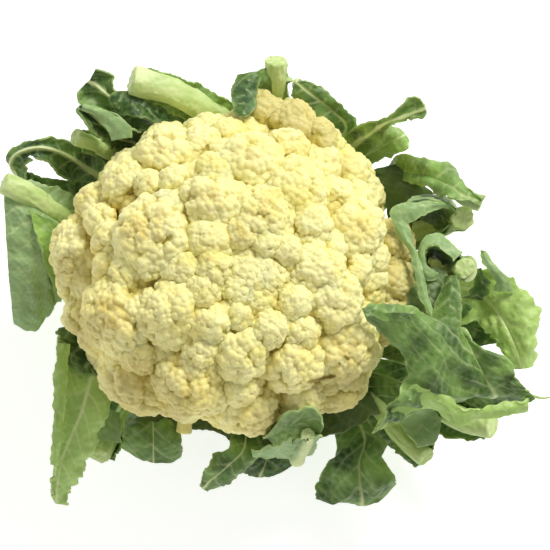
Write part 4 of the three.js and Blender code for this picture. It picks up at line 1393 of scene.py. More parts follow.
# How a blade looks: its tone from dark to light, how far its margins wave, how deep its
# creases are, how ragged its margin is, the share of the rib's width that shows on the
# upper face, how round the rib is above, whether its back is turned up, where its waves
# begin along it, its holes as t, v and their half sizes, how yellow it is all over, how
# blotched, its finish, and how plain its veins are. Each leaf gives what differs.
PLAIN_BLADE = {
    "tone": 0.4, "ruffle": 1.3, "crumple": 0.8, "teeth": 0.8, "rib_shown": 0.45,
    "round": 0.12, "turned": False, "free": (0.35, 0.6), "holes": (), "pale": 0.0,
    "blotch": 0.17, "finish": "leaf", "veins": 1.0,
}
BLADES = {
    "leaf_top": {"tone": 0.45, "rib_shown": 0.6},
    "leaf_top_left_rib": {"tone": 0.4, "rib_shown": 0.8, "crumple": 0.3},
    "leaf_upper_left_lobes": {"tone": 0.08, "ruffle": 1.8, "crumple": 1.2},
    "leaf_upper_left_fold": {"tone": 0.0},
    "leaf_left_cut_rib": {"tone": 0.1, "rib_shown": 0.6, "crumple": 0.3},
    "leaf_left_long": {"tone": 0.08, "ruffle": 1.5, "holes": ((0.72, -0.75, 0.02, 0.3),)},
    "leaf_left_hanging": {
        "tone": 0.6, "ruffle": 1.6, "turned": True, "rib_shown": 0.7, "crumple": 1.2, "veins": 1.5,
    },
    "leaf_lower_left_long": {
        "tone": 1.0, "pale": 0.55, "ruffle": 1.6, "teeth": 1.0, "rib_shown": 0.5, "veins": 1.6,
    },
    "leaf_lower_left_cut_rib": {"tone": 0.1, "rib_shown": 0.5},
    "leaf_bottom_left_square": {"tone": 0.35, "crumple": 1.2, "teeth": 0.4},
    "leaf_bottom_lens": {"tone": 0.3, "crumple": 1.0},
    "leaf_bottom_dark": {"tone": 0.0},
    "leaf_bottom_curl": {"tone": 0.6, "rib_shown": 0.7},
    "leaf_bottom_right_large": {"tone": 0.28, "ruffle": 2.0, "crumple": 2.0, "blotch": 0.3},
    "leaf_lower_right_short_rib": {"tone": 0.15, "rib_shown": 0.3},
    "leaf_lower_right_cut_rib": {"tone": 0.08, "rib_shown": 0.3},
    "leaf_over_curd": {
        "tone": 0.28, "ruffle": 2.2, "crumple": 2.6, "teeth": 1.3, "blotch": 0.2,
    },
    "leaf_right_large": {
        "tone": 1.0, "pale": 0.7, "ruffle": 2.0, "crumple": 1.6, "teeth": 1.3, "veins": 1.4,
    },
    "leaf_right_small_curl": {"tone": 0.05, "rib_shown": 0.5},
    "leaf_right_curl": {"tone": 0.1, "rib_shown": 0.5},
    "leaf_right_upper": {"tone": 0.5, "ruffle": 1.8, "crumple": 1.0},
    "leaf_right_round_lobe": {"tone": 0.6, "crumple": 0.5, "pale": 0.4},
    "leaf_right_ladle": {"tone": 0.4, "crumple": 0.4},
    "leaf_top_right": {"tone": 0.25, "crumple": 1.0},
}

# Parts of the leaves that fold, curl or stand apart from the main sheet: the leaf, how
# high they arch, how they look, and pairs of places on their two long edges, x, y as
# viewed and z.
FLAPS = {
    "right_curl_flap": ("leaf_right_curl", 1.5, {"tone": 0.9, "turned": True}, [
        ((98, 30.5, 97), (97.5, 28, 96)), ((92, 31, 101), (92, 27.5, 99)),
        ((86, 31, 103), (87, 25.5, 101)), ((77, 30.5, 104), (82, 22.5, 102)),
        ((70.5, 27, 103), (78.5, 20.5, 101)), ((71.5, 20.5, 102), (79.3, 16.5, 100)),
        ((74, 15.2, 101), (81, 11, 99)), ((78.6, 9.5, 100), (83.3, 6, 98)),
        ((80.3, 3, 99), (84.6, 0, 97)), ((82, -5.5, 98), (86.3, -8, 96)),
        ((84.4, -15, 97), (88.6, -16.5, 95)), ((88, -23, 96), (90.8, -24, 95)),
    ]),
    "right_curl_wall": ("leaf_right_curl", 0.5, {"tone": 0.12}, [
        ((84, 31, 98), (83, 24, 76)), ((92, 31.6, 98), (88, 22, 74)),
        ((98, 29.5, 97), (92, 19.5, 73)), ((101, 24, 95), (94, 16.5, 74)),
        ((97, 17.5, 90), (91, 13, 72)),
    ]),
    # The curl's inner wall, darkened with painted shade.
    "small_curl_wall": ("leaf_right_small_curl", 0.5, {"finish": "leaf with painted shade"}, [
        ((100, 3, 94), (95, 1.5, 74)), ((96.4, 7.4, 95), (93, 4, 73)),
        ((92, 9.9, 95), (91, 5, 72)), ((88, 9.8, 95), (89, 4.5, 72)),
        ((85.6, 7, 95), (88, 2.5, 72)), ((86, 2.4, 95), (89, 0.4, 72)),
        ((88.4, -1.2, 94), (91, -1, 73)), ((91, -2.6, 93), (93, -1, 74)),
    ]),
    "right_olive_fold": ("leaf_right_small_curl", 1.0, {"tone": 0.1, "pale": 0.15}, [
        ((81, 1, 88), (97, -1, 88)), ((80, -8, 90), (97, -8, 90)),
        ((78.5, -17, 90), (96, -18, 91)), ((80, -26, 90), (94, -28, 92)),
    ]),
    "right_dark_fold": ("leaf_over_curd", 1.5, {"tone": 0.25, "teeth": 0.4}, [
        ((95.6, -4, 94), (101.2, -3.5, 97)), ((93.5, -11, 95), (102.5, -10.5, 98)),
        ((90.6, -19, 96), (103, -19, 99)), ((90, -25.5, 97), (102.6, -27, 99)),
        ((93, -30, 97), (103, -31, 98)),
    ]),
    "small_curl_lip": ("leaf_right_small_curl", 0.8, {"tone": 0.9, "turned": True}, [
        ((104, 7.2, 92), (99.3, 3, 95)), ((99.5, 11.5, 93), (96.4, 6.8, 96)),
        ((93.8, 15.6, 93), (92, 9.4, 96)), ((87.6, 15, 93), (88.3, 9.4, 96)),
        ((83.6, 9.5, 93), (86, 7, 96)), ((83, 2.6, 93), (86.4, 2.6, 96)),
        ((84.2, -3.6, 93), (88.4, -0.6, 95)), ((87.6, -6, 92), (90.2, -2, 94)),
        ((92.4, -4.4, 91), (92, -2, 93)),
    ]),
    "over_curd_hem": ("leaf_over_curd", 1.5, {"tone": 1.0, "ruffle": 1.0, "pale": 0.5}, [
        ((61.6, -76.6, 85), (66, -70, 87)), ((68, -73.4, 86), (72, -62, 91)),
        ((76.5, -68, 87), (80, -54.5, 96)), ((84.8, -65.4, 88), (88.5, -56.5, 96)),
        ((92.6, -67, 88), (96, -60, 95)), ((100.4, -73, 87), (103, -64.5, 93)),
        ((110, -70.6, 86), (112, -65, 91)), ((122, -69, 84), (122.5, -63, 88)),
        ((134.6, -67, 81), (134, -61, 84)),
    ]),
    "over_curd_tip": ("leaf_over_curd", 0.8, {"tone": 0.4, "ruffle": 1.0}, [
        ((56.5, -18.6, 121), (58, -22, 120)), ((62.2, -16.4, 118), (64, -23, 118)),
        ((71, -16.6, 113), (73, -25, 113)), ((79, -17.6, 108), (80, -27, 109)),
        ((85, -21, 104), (85, -29, 105)), ((90, -26, 100), (88, -31, 102)),
        ((94, -29, 97), (92, -32, 99)),
    ]),
    "left_hanging_green": ("leaf_left_hanging", 1.0, {"tone": 0.6, "pale": 0.1}, [
        ((-99, 27, 79), (-82, 19, 66)), ((-95, 12, 73), (-78.5, 8, 60)),
        ((-90, -2, 65), (-78, -5, 57)), ((-86.5, -14, 58), (-80, -12, 54)),
    ]),
    "lower_left_lobe": ("leaf_lower_left_long", 1.0, {"tone": 0.0, "teeth": 1.6}, [
        ((-84, -28, 66), (-78, -27, 64)), ((-84.6, -34, 67), (-70, -33, 62)),
        ((-80, -42, 69), (-64, -42, 62)), ((-74, -49, 68), (-66, -50, 64)),
    ]),
    "lower_left_margin": ("leaf_lower_left_long", 1.0, {
        "tone": 1.0, "pale": 0.5, "ruffle": 1.4,
    }, [
        ((-85.4, -35, 70), (-80, -36, 68)), ((-86.6, -50, 71), (-81, -52, 70)),
        ((-87, -66, 69), (-82, -67, 68)), ((-88, -80, 64), (-84, -81, 63)),
        ((-88.6, -92, 55), (-86, -93, 54)),
    ]),
    "lower_left_cover": ("leaf_lower_left_cut_rib", 1.0, {"tone": 0.5, "turned": True}, [
        ((-57, -68, 44), (-68, -66, 42)), ((-55.6, -76, 46), (-70, -73, 44)),
        ((-56, -82.5, 46), (-71.5, -80, 44)),
    ]),
    "right_large_lobe": ("leaf_right_large", 1.0, {"tone": 0.8, "turned": True}, [
        ((113, 8.4, 82), (115, 7.6, 82)), ((113.6, 3, 81), (117.8, 3.4, 81)),
        ((116.4, -1.4, 80), (121.5, -0.4, 80)), ((120, -6, 77), (126, -6, 77)),
        ((119, -11, 74), (128.5, -11, 74)),
    ]),
    "right_large_dark_lobe": ("leaf_right_large", 0.8, {"tone": 0.1, "teeth": 1.5}, [
        ((110, -1, 76), (113, 0, 78)), ((110.4, -4, 75), (115, -4, 76)),
        ((109, -9, 72), (116, -9, 73)), ((106, -14, 66), (114, -15, 68)),
    ]),
    "right_large_frill": ("leaf_right_large", 0.5, {"tone": 0.0, "teeth": 2.2}, [
        ((99, -13, 54), (112, -20, 57)), ((100, -22, 54), (116, -27, 57)),
        ((104, -30, 54), (120, -30, 56)), ((112, -37, 54), (122.5, -35, 55)),
    ]),
    # A blade under the curd's right edge, darkened with painted shade.
    "right_inner_blade": ("leaf_right_upper", 1.0, {"finish": "leaf with painted shade"}, [
        ((62, 46, 62), (78, 50, 68)), ((66, 39, 66), (86, 40, 74)),
        ((68, 31, 66), (92, 33, 78)), ((70, 20, 66), (94, 25, 76)),
    ]),
    "bottom_curl_bowl": ("leaf_bottom_curl", -2.0, {"tone": 0.3, "pale": 0.1}, [
        ((9.8, -75.2, 84), (17, -83, 76)), ((14, -69.5, 91), (19, -82, 78)),
        ((18.6, -64.2, 97), (23, -80, 79)), ((26.4, -65, 98), (28, -78, 79)),
        ((32.8, -64.4, 98), (32, -77, 79)), ((37.4, -67.8, 95), (35, -77, 80)),
        ((39.2, -72.6, 90), (37.4, -77.5, 81)),
    ]),
    "bottom_curl_hem": ("leaf_bottom_curl", 0.6, {"tone": 0.9, "turned": True}, [
        ((5.6, -85.6, 58), (6, -88.4, 56)), ((12, -84.4, 66), (12.5, -88.8, 58)),
        ((18.4, -81.6, 76), (19, -88.4, 60)), ((24, -78.6, 82), (25, -88.8, 60)),
    ]),
    "upper_left_flap": ("leaf_upper_left_fold", 1.0, {"tone": 0.8, "turned": True}, [
        ((-73.4, 76.2, 99), (-74, 74.4, 98)), ((-66, 74.6, 101), (-68.4, 71.4, 99)),
        ((-59, 71.8, 103), (-63, 66.8, 99)), ((-51.4, 66.6, 104), (-60.4, 62.4, 99)),
        ((-50.6, 61, 102), (-59.8, 59.6, 98)),
    ]),
    "left_long_strip": ("leaf_left_hanging", 1.2, {"tone": 0.1}, [
        ((-68, 41, 58), (-70, 26, 56)), ((-78, 41.5, 62), (-80, 29, 60)),
        ((-88, 42.2, 66), (-90, 33, 64)), ((-96, 43.6, 69), (-99, 37.5, 67)),
        ((-102.5, 47, 71), (-106, 43, 69)),
    ]),
    "short_rib_blade": ("leaf_lower_right_short_rib", 1.5, {"tone": 0.6, "turned": True}, [
        ((72, -66, 54), (84, -62, 58)), ((75.5, -73, 57), (93, -69, 56)),
        ((79, -79, 60), (94, -76, 56)), ((83.6, -84, 61), (90.6, -83, 58)),
    ]),
    "upper_left_round_lobe": ("leaf_upper_left_lobes", 1.2, {"tone": -0.1}, [
        ((-62, 79, 87), (-59.6, 74, 86)), ((-58, 83, 88), (-55, 72, 87)),
        ((-51, 82.6, 88), (-47.6, 70.6, 86)), ((-44, 79, 85), (-40, 68.6, 82)),
        ((-36, 74, 80), (-33, 66, 78)),
    ]),
    "leaf_top_drop": ("leaf_top", 1.0, {"tone": 0.05}, [
        ((-1, 90.6, 92), (13, 93, 92)), ((-3.4, 86, 94), (9, 87, 94)),
        ((-4, 80, 98), (8, 80, 98)),
        ((-3.4, 75, 102), (7, 75, 102)), ((-1.6, 70, 103), (3, 70, 103)),
    ]),
    # Leaf bases under the curd's lower edge, darkened with painted shade into a dark band.
    "underside_leaf": ("leaf_bottom_dark", 0.8, {"finish": "leaf with painted shade"}, [
        ((-52, -48, 46), (-61, -60, 48)), ((-38, -56, 46), (-45, -71, 48)),
        ((-24, -60, 46), (-26, -75, 48)), ((-10, -60, 46), (-11, -77, 48)),
        ((2, -62, 46), (-2, -82, 48)), ((20, -62, 46), (19, -84, 48)),
        ((34, -62, 46), (38, -80, 48)), ((46, -58, 46), (51, -76, 48)),
        ((58, -52, 46), (66, -68, 48)),
    ]),
}

# What each flap has in place of a plain blade's values, and its thin rib's half width
# and depth.
PLAIN_FLAP = {
    "coarse_to": 0.0, "cut": False, "crumple": 0.5, "ruffle": 0.6, "teeth": 0.5,
    "free": (-0.2, -0.1), "round": 0.0,
}
FLAP_RIB = (1.0, 0.1)

# A leaf's points are coarse up to this many stations from the stalk. Each leaf and flap
# has its own seeds.
COARSE_STATIONS = 1.4
SEEDS_APART = 100
FIRST_FLAP_SEED = 5000


def flap_rows(arch, pairs):
    """A flap's rows in the leaves' way: the middle line, then the two edges."""
    edges = np.array([[viewed(one), viewed(other)] for one, other in pairs])
    onward = np.diff(edges.mean(axis=1), axis=0)
    across = (edges[:-1, 0] - edges[:-1, 1])[:, :2]
    if (onward[:, 0] * across[:, 1] - onward[:, 1] * across[:, 0]).sum() < 0:
        edges = edges[:, ::-1]
    middle = edges.mean(axis=1) + (0, 0, arch)
    return np.hstack((middle, edges[:, 0], edges[:, 1], np.zeros((len(edges), 2))))


# How far inside and outside a hole's rim the grid's points are moved onto the rim.
HOLE_INNER, HOLE_OUTER = 0.82, 1.18


def rim_distance(t, v, hole):
    """How far points are from a hole's middle, 1 on its rim."""
    middle_t, middle_v, half_t, half_v = hole
    return np.hypot((t - middle_t) / half_t, (v - middle_v) / half_v)


def grid_values(mesh, ts, vs):
    """The t and v of each point of a flat grid."""
    flat = places_of(mesh) * MM
    i = np.rint((flat[:, 0] + 1) / 2 * (len(ts) - 1)).astype(int)
    j = np.rint((1 - flat[:, 1]) / 2 * (len(vs) - 1)).astype(int)
    return ts[i], vs[j]


def lay_sheet(name, ts, vs, holes):
    """A flat grid with its holes cut, and the t and v of its points."""
    deselect()
    bpy.ops.mesh.primitive_grid_add(
        x_subdivisions=len(ts) - 1, y_subdivisions=len(vs) - 1, size=2.0
    )
    sheet = just_added(name)
    t, v = grid_values(sheet.data, ts, vs)
    if holes:
        gone = np.min([rim_distance(t, v, hole) for hole in holes], axis=0) < HOLE_INNER
        bpy.ops.object.mode_set(mode="EDIT")
        bpy.ops.mesh.select_all(action="DESELECT")
        bpy.ops.object.mode_set(mode="OBJECT")
        sheet.data.vertices.foreach_set("select", gone)
        bpy.ops.object.mode_set(mode="EDIT")
        bpy.ops.mesh.delete(type="VERT")
        bpy.ops.mesh.select_all(action="SELECT")
        bpy.ops.mesh.delete_loose()
        bpy.ops.object.mode_set(mode="OBJECT")
        t, v = grid_values(sheet.data, ts, vs)
        for hole in holes:
            away = rim_distance(t, v, hole)
            pull = np.where(away < HOLE_OUTER, 1 / np.maximum(away, 0.1), 1)
            t = hole[0] + (t - hole[0]) * pull
            v = hole[1] + (v - hole[1]) * pull
    return sheet, np.clip(t, 0, 1), np.clip(v, -1, 1)


def grow_blade(name, node, rows, rib, blade, seed, look):
    """One sheet of a leaf, laid over its rows, given its thickness and its rib."""
    rib_half, rib_depth, root_half, root_depth = rib
    ts = even_steps(rows, look.step, PETIOLE_STEP, blade["coarse_to"])
    sheet, t, v = lay_sheet(name, ts, side_steps(rows, look.step), blade["holes"])
    places = leaf_middle(rows, t, v, blade, seed)
    reach = np.linalg.norm(places - leaf_middle(rows, t, v * 0, blade, seed), axis=1)
    line = np.stack((along_length(rows, t) + np.where(v < 0, 0, VEINS_APART), reach), axis=1)
    share = np.abs(v)
    out = smoothstep(t, 0, RIB_NARROWING)
    half = root_half + (rib_half - root_half) * out
    depth = root_depth + (rib_depth - root_depth) * out
    profile = np.sqrt(np.clip(1 - (reach / half) ** 2, 0, 1))
    veins = vein_lines(line, share, seed)
    put_places(sheet.data, places)
    normals = normals_of(sheet.data)
    puff = PUFF_HEIGHT * waves(line, PUFF_LENGTH, seed + 7)
    puff = puff * (1 - veins) * smoothstep(reach, half, half + 3)
    relief = puff - VEIN_GROOVE * veins * (1 - profile)
    put_places(sheet.data, places + normals * relief[:, None])
    thicken(sheet, look.thickness)
    places = add_rib(sheet.data, normals, profile * depth, blade["round"])
    shown = half * (1 + (blade["rib_shown"] - 1) * out)
    ribs = [rib_share(reach, width, blade) for width in (shown, half)]
    put_veins(sheet.data, ribs, veins * blade["veins"])
    put_margins(sheet.data, reach, share, blade)
    put_tones(sheet.data, places, seed, blade)
    if blade["cut"]:
        mark_cut_end(sheet.data, np.concatenate((t, t)) == ts[-1])
    shade(sheet, degrees=50)
    return finished(sheet, "leaf", [node], FINISHES[blade["finish"]], FINISHES["cut"])


def add_rib(mesh, normals, depth, roundness):
    """Pushes a sheet's two faces out to its rib, and gives the upper face's places."""
    count = len(normals)
    places = places_of(mesh)
    places[count:] -= normals * depth[:, None]
    places[:count] += normals * (depth * roundness)[:, None]
    put_places(mesh, places)
    return places[:count]


def rib_share(reach, half, blade):
    """How strongly the rib shows at each reach from it, 0 on flaps, which have none."""
    inner, outer = RIB_FADE
    shown = 1 - smoothstep(reach, inner * half, outer * half)
    return shown * (RIB_TINT if blade["cut"] else 0.0)


def put_veins(mesh, ribs, veins):
    """Stores how pale the ribs and veins are, above and below."""
    above, below = ribs
    above = np.maximum(above, veins * VEINS_ABOVE)
    put_both(mesh, "vein", above, np.maximum(below, veins * VEINS_BELOW))


def put_margins(mesh, reach, share, blade):
    """Stores how yellow a blade is, all over and along its margins."""
    width = reach / np.maximum(share, 0.05)
    margin = smoothstep(share, 1 - MARGIN_WIDTH / np.maximum(width, 2), 1.0)
    margin = MARGIN_TINT * margin + blade["pale"]
    put_both(mesh, "edge", margin, margin)


def put_tones(mesh, places, seed, blade):
    """Stores how light a blade is in each place, and which of its faces is the back."""
    tone = blade["tone"] + blade["blotch"] * waves(places, BLOTCH_LENGTH, seed + 11)
    put_both(mesh, "tone", tone, tone)
    back, front = np.ones(len(places)), np.zeros(len(places))
    put_both(mesh, "back", *((back, front) if blade["turned"] else (front, back)))


def put_both(mesh, name, above, below):
    """Stores a value for the upper and the lower face of a sheet."""
    put_values(mesh, name, np.clip(np.concatenate((above, below)), 0, 1))


def thicken(sheet, thickness):
    """Gives a sheet its thickness. The lower face's points follow the upper face's."""
    select_only(sheet)
    skin = sheet.modifiers.new("Thickness", "SOLIDIFY")
    skin.thickness = thickness
    skin.offset = 0.0
    bpy.ops.object.modifier_apply(modifier=skin.name)


def grow_leaf(name, index, look):
    """The main sheet of a leaf, from the stalk to its end."""
    degrees, whorl, rib_half, rib_depth, stations = LEAVES[name]
    rows = station_rows(degrees, whorl, stations)
    coarse_to = COARSE_STATIONS / (len(rows) - 1)
    blade = {**PLAIN_BLADE, "coarse_to": coarse_to, "cut": True, **BLADES[name]}
    rib = (rib_half, rib_depth, ROOT_RIB_HALF, ROOT_RIB_DEPTH)
    seed = SEEDS_APART * (index + 1)
    grow_blade(name + "_grown", name, rows, rib, blade, seed, look)


def grow_flap(name, index, look):
    """A flap of a leaf, apart from its main sheet."""
    node, arch, changes, pairs = FLAPS[name]
    blade = {**PLAIN_BLADE, **PLAIN_FLAP, **changes}
    rib = (*FLAP_RIB, *FLAP_RIB)
    seed = FIRST_FLAP_SEED + SEEDS_APART * index
    grow_blade(name, node, flap_rows(arch, pairs), rib, blade, seed, look)


def mark_cut_end(mesh, at_end):
    """Gives the faces across a leaf's end the cut finish."""
    for face in mesh.polygons:
        if all(at_end[k] for k in face.vertices):
            face.material_index = 1


# Cut ribs

# The thick ribs that end in a cut: the node that each belongs to, how green it is, and its
# line from inside the leaf to the cut, as x, y as viewed, z and radius. A twig and the stub
# of a floret's branch are made the same way.
CUT_RIBS = {
    "rib_top": ("leaf_top", 0.4, [
        (15, 70, 56, 5.2), (16, 79, 73, 5), (16.6, 88, 86, 4.9), (17, 97, 94.6, 5.2),
    ]),
    "rib_top_left": ("leaf_top_left_rib", 0.3, [
        (-6, 69, 56, 6), (-18, 76, 73, 6.4), (-33, 83.5, 84, 6.8), (-50.6, 88.2, 89.6, 7),
    ]),
    "rib_left_cut": ("leaf_left_cut_rib", 0.5, [
        (-52, 48, 46, 3.6), (-61, 54, 64, 3.8), (-69, 58.6, 80, 4), (-76.8, 61.4, 89, 4.2),
    ]),
    "rib_left_hanging": ("leaf_left_hanging", 0.4, [
        (-76, 19, 50, 5.2), (-88, 27, 67, 5.6), (-98, 34, 76, 5.4), (-110.6, 39.4, 81.6, 5.4),
    ]),
    "rib_lower_left": ("leaf_lower_left_cut_rib", 0.55, [
        (-50, -60, 22, 4), (-56, -71, 28, 4.4), (-62, -80, 34, 4.8), (-66, -88, 40, 5),
    ]),
    "rib_bottom_curl": ("leaf_bottom_curl", 0.1, [
        (24.6, -84, 52, 2.2), (26.5, -87, 60, 2.6), (29.5, -82.6, 72, 3),
        (32, -77, 84, 3.2),
    ]),
    "rib_lower_right_short": ("leaf_lower_right_short_rib", 0.6, [
        (64, -64, 38, 4.2), (73, -75, 45, 4.6), (81, -83.5, 49, 4.8), (87, -88.5, 54, 4.8),
    ]),
    "rib_lower_right": ("leaf_lower_right_cut_rib", 0.45, [
        (84, -60, 24, 4.8), (97, -68, 30, 5.2), (108, -72.5, 37, 5.6), (118.6, -74.6, 43.4, 6),
    ]),
    "rib_small_curl": ("leaf_right_small_curl", 0.45, [
        (88, 0, 50, 4.6), (97, 0.5, 64, 4.8), (102.5, 0, 80, 5), (104.8, 0, 93, 5.2),
    ]),
    "rib_right_curl": ("leaf_right_curl", 0.45, [
        (84, 17, 54, 5), (94.5, 20.5, 66, 5.2), (101, 22.8, 80, 5.6), (104, 23.4, 93, 5.8),
    ]),
    "over_curd_twig": ("leaf_over_curd", 0.6, [
        (131, -60, 81, 1.0), (136, -59.6, 82, 0.8), (141, -60.6, 82, 0.5),
        (146, -60, 83, 0.35),
    ]),
    "floret_stub": ("curd", 0.5, [
        (-25, -58, 60, 3.2), (-26, -66, 54, 3.2), (-26, -72, 50, 3.4), (-26.4, -77, 48, 3.8),
    ]),
}

# A cut rib: its sides, the spacing of its rings, the rounded edge of its cut as shares of
# its radius and heights in millimetres, how flat it is, its ridges as shares of its radius,
# how its streaks lie round and along it, and how rough its cut is.
RIB_SIDES = 36
RIB_STEP = 0.8
RIB_CAP = ((0.96, 0.3), (0.86, 0.6), (0.62, 0.75), (0.34, 0.7))
RIB_FLATNESS = 0.86
RIDGE_HEIGHT, FINE_RIDGE_HEIGHT = 0.05, 0.03
RIB_STREAKS = (3, 0.12)
CUT_ROUGHNESS = 0.25


def even_path(points, step):
    """Places and radii along a smooth line through the given points, a step apart."""
    fine, lengths = measured(points, RIB_SAMPLES)
    count = max(4, int(lengths[-1] / step))
    t = np.interp(np.linspace(0, lengths[-1], count + 1), lengths, fine)
    return along_stations(points, t)


def round_body(name, rings, sides=RIB_SIDES):
    """A closed body from a ball: rings of (middle, side, up, radius), poles at its ends."""
    deselect()
    bpy.ops.mesh.primitive_uv_sphere_add(segments=sides, ring_count=len(rings) - 1)
    body = just_added(name)
    ball = places_of(body.data) * MM
    ring = np.arccos(np.clip(ball[:, 2], -1, 1)) / math.pi * (len(rings) - 1)
    ring = np.rint(ring).astype(int)
    turn = np.arctan2(ball[:, 1], ball[:, 0])
    middle, side, up, radius = (np.stack([r[k] for r in rings])[ring] for k in range(4))
    flat = np.cos(turn)[:, None] * side + np.sin(turn)[:, None] * up
    return body, ring, turn, middle, flat, radius


def lengthwise(turn, along, round_share, along_share):
    """Places for waves that run lengthwise on a body, wide round it and slow along it."""
    round_ = (np.cos(turn) * round_share, np.sin(turn) * round_share)
    return np.stack((*round_, along * along_share), axis=1)


def cut_rib_rings(line, heading):
    """The rings of a cut rib: along its line, then over the rounded edge of its cut."""
    side = unit(np.cross(heading, (0, 0, 1.0)))
    up = np.cross(side, heading) * RIB_FLATNESS
    rings = [(line[0, :3], side[0], up[0], 0.0)]
    rings += [(line[k, :3], side[k], up[k], line[k, 3]) for k in range(len(line))]
    end, size = line[-1, :3], line[-1, 3]
    for width, rise in (*RIB_CAP, (0.0, RIB_CAP[-1][1])):
        rings.append((end + heading[-1] * rise, side[-1], up[-1], size * width))
    return rings


def grow_cut_rib(name, index):
    """A thick rib with lengthwise ridges, cut across at its end."""
    node, green, points = CUT_RIBS[name]
    line = np.array([[*viewed(place[:3]), place[3]] for place in points])
    line = even_path(line, RIB_STEP)
    heading = unit(np.gradient(line[:, :3], axis=0))
    body, ring, turn, middle, flat, radius = round_body(name, cut_rib_rings(line, heading))
    along = ring * RIB_STEP
    lap = lengthwise(turn, along, *RIB_STREAKS)
    ridges = RIDGE_HEIGHT * waves(lap, 2.2, 40 + index)
    ridges += FINE_RIDGE_HEIGHT * waves(lap, 0.9, 60 + index)
    places = middle + flat * (radius * (1 + ridges))[:, None]
    rough = CUT_ROUGHNESS * waves(places, 2.4, 80 + index) * (ring > len(line) + 1)
    put_places(body.data, places + heading[-1] * rough[:, None])
    green = green + 0.2 * waves(lap, 1.6, 90 + index) + 0.25 * (1 - along / along.max())
    put_values(body.data, "vein", np.clip(0.95 - green, 0, 1))
    put_one_value(body.data, edge=0.7, back=0.0, tone=0.8, depth=0.9)
    mark_cut_end(body.data, ring > len(line))
    shade(body, degrees=45)
    slot = "curd" if node == "curd" else "leaf"
    finished(body, slot, [node], FINISHES[slot], FINISHES["cut"])


# Stalk

# The stalk's outline from its cut end up: height in millimetres and share of its radius.
# The last rings that are laid, from the cut's edge to its middle, have the cut finish.
STALK_RINGS = [
    (0.0, 0.45), (0.0, 0.8), (0.0, 0.955), (0.6, 0.985), (2.0, 1.0), (6, 1.0), (10, 0.995),
    (14, 0.99), (18, 0.99), (22, 0.985), (26, 0.985), (30, 0.985), (34, 0.985), (38, 0.99),
    (41, 1.02), (43.5, 1.07), (45.5, 1.12), (48, 1.0),
]
STALK_CUT_RINGS = 4
STALK_SIDES = 96
STALK_RIDGE = 0.012
STALK_STREAKS = (4, 0.06)


class MESH_OT_cauliflower_stalk(bpy.types.Operator):
    """Turn the stalk with its cut end"""

    bl_idname = "mesh.cauliflower_stalk"
    bl_label = "Stalk"

    def execute(self, context):
        across, away = np.array((1.0, 0, 0)), np.array((0, -1.0, 0))
        heights = [(STALK_RINGS[-1][0], 0.0), *reversed(STALK_RINGS), (0.0, 0.0)]
        rings = [
            (np.array((0, 0, z)), across, away, STALK_RADIUS * share) for z, share in heights
        ]
        stalk, ring, turn, middle, flat, radius = round_body("stalk_grown", rings, STALK_SIDES)
        lap = lengthwise(turn, middle[:, 2], *STALK_STREAKS)
        ridges = STALK_RIDGE * waves(lap, 1.5, 31) - STALK_RIDGE / 2
        put_places(stalk.data, middle + flat * (radius * (1 + ridges))[:, None])
        mark_cut_end(stalk.data, ring >= len(rings) - STALK_CUT_RINGS)
        shade(stalk, degrees=40)
        finished(stalk, "stalk", ["stalk"], FINISHES["stalk"], FINISHES["cut"])
        return {"FINISHED"}


class MESH_OT_cauliflower_leaves(bpy.types.Operator):
    """Grow the leaves round the head"""

    bl_idname = "mesh.cauliflower_leaves"
    bl_label = "Leaves"

    def execute(self, context):
        for index, name in enumerate(LEAVES):
            grow_leaf(name, index, context.scene.cauliflower_leaf)
        for index, name in enumerate(FLAPS):
            grow_flap(name, index, context.scene.cauliflower_leaf)
        for index, name in enumerate(CUT_RIBS):
            grow_cut_rib(name, index)
        return {"FINISHED"}


# Stage

WHITE = (1.0, 1.0, 1.0, 1.0)
FLOOR_GREY = (0.7, 0.7, 0.7, 1.0)
FLOOR_GLOW = 0.68
FLOOR_RADIUS = 6.0
SKY_STRENGTH = 0.42
CAMERA_AIM = Vector((0.0164, -0.0033, 0.085))

# The lights: the degrees that each comes from, clockwise from +Y, and its height in
# degrees, its strength and its size in degrees.
LIGHTS = {
    "key_light": (36, 42, 2.75, 20),
    "side_light": (250, 35, 0.2, 60),
}


def lay_floor():
    """A pale floor that glows a little, so that it shows white."""
    bpy.ops.mesh.primitive_circle_add(vertices=96, radius=FLOOR_RADIUS, fill_type="NGON")
    floor = just_added("studio_floor")
    material, _, shader = new_material("Studio floor")
    shader.inputs["Base Color"].default_value = FLOOR_GREY
    shader.inputs["Roughness"].default_value = 0.9
    shader.inputs["Emission Color"].default_value = WHITE
    shader.inputs["Emission Strength"].default_value = FLOOR_GLOW
    floor.data.materials.append(material)


def light_sky():
    """Even white light from all round."""
    world = bpy.data.worlds.new("Studio")
    world.use_nodes = True
    sky = world.node_tree.nodes["Background"]
    sky.inputs["Color"].default_value = WHITE
    sky.inputs["Strength"].default_value = SKY_STRENGTH
    bpy.context.scene.world = world


def light_from(name, turn, height, strength, size):
    """One soft light from far off."""
    bpy.ops.object.light_add(type="SUN")
    light = bpy.context.object
    light.name = name
    light.data.energy = strength
    light.data.angle = math.radians(size)
    turn, height = math.radians(turn), math.radians(height)
    flat = math.cos(height)
    away = Vector((math.sin(turn) * flat, math.cos(turn) * flat, math.sin(height)))
    light.location = away * 2
    light.rotation_euler = away.to_track_quat("Z", "Y").to_euler()


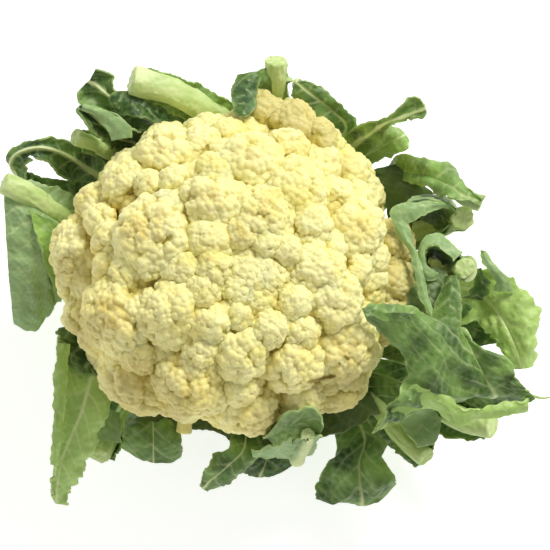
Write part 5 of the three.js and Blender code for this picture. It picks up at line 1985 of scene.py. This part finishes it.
class SCENE_OT_cauliflower_stage(bpy.types.Operator):
    """Set the floor, the soft light and the camera"""

    bl_idname = "scene.cauliflower_stage"
    bl_label = "Stage"

    def execute(self, context):
        look = context.scene.cauliflower_stage
        deselect()
        lay_floor()
        back = Vector((0, -math.cos(look.elevation), math.sin(look.elevation)))
        bpy.ops.object.camera_add(location=CAMERA_AIM + back * look.distance)
        camera = bpy.context.object
        camera.rotation_euler = (-back).to_track_quat("-Z", "Y").to_euler()
        camera.data.lens = camera.data.sensor_width * look.distance / look.view_width
        camera.data.clip_start = 0.1
        camera.data.clip_end = 50.0
        context.scene.camera = camera
        light_sky()
        for name, values in LIGHTS.items():
            light_from(name, *values)
        context.scene.view_settings.view_transform = "Standard"
        return {"FINISHED"}


class VIEW3D_PT_cauliflower(bpy.types.Panel):
    """Lists the steps that grow the head"""

    bl_label = "Cauliflower"
    bl_category = "Cauliflower"
    bl_space_type = "VIEW_3D"
    bl_region_type = "UI"

    def draw(self, context):
        for step in STEPS:
            self.layout.operator(step.bl_idname)


STEPS = (
    MESH_OT_cauliflower_core,
    MESH_OT_cauliflower_florets,
    MESH_OT_cauliflower_stalk,
    MESH_OT_cauliflower_leaves,
    SCENE_OT_cauliflower_stage,
)
LOOKS = {
    "cauliflower_curd": CurdLook,
    "cauliflower_leaf": LeafLook,
    "cauliflower_stage": StageLook,
}


def register():
    """Makes the add-on's classes and looks known to Blender."""
    for look in LOOKS.values():
        bpy.utils.register_class(look)
    for step in STEPS:
        bpy.utils.register_class(step)
    bpy.utils.register_class(VIEW3D_PT_cauliflower)
    for name, look in LOOKS.items():
        setattr(bpy.types.Scene, name, bpy.props.PointerProperty(type=look))


def unregister():
    """Takes them away again."""
    for name in LOOKS:
        delattr(bpy.types.Scene, name)
    bpy.utils.unregister_class(VIEW3D_PT_cauliflower)
    for step in reversed(STEPS):
        bpy.utils.unregister_class(step)
    for look in LOOKS.values():
        bpy.utils.unregister_class(look)


def main():
    """Makes the finishes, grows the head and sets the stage."""
    register()
    scene = bpy.context.scene
    grain = grain_group()
    FINISHES.update({
        "curd": curd_material(grain, scene.cauliflower_curd),
        "leaf": leaf_material(grain, scene.cauliflower_leaf),
        # A copy of the leaf skin with painted shade, for blades that lie in shade.
        "leaf with painted shade": leaf_material(grain, scene.cauliflower_leaf, "Leaf skin with painted shade", 0.38),
        "stalk": stalk_material(grain),
        "cut": cut_material(grain),
    })
    bpy.ops.mesh.cauliflower_core()
    bpy.ops.mesh.cauliflower_florets()
    bpy.ops.mesh.cauliflower_stalk()
    bpy.ops.mesh.cauliflower_leaves()
    bpy.ops.scene.cauliflower_stage()


if __name__ == "__main__":
    main()
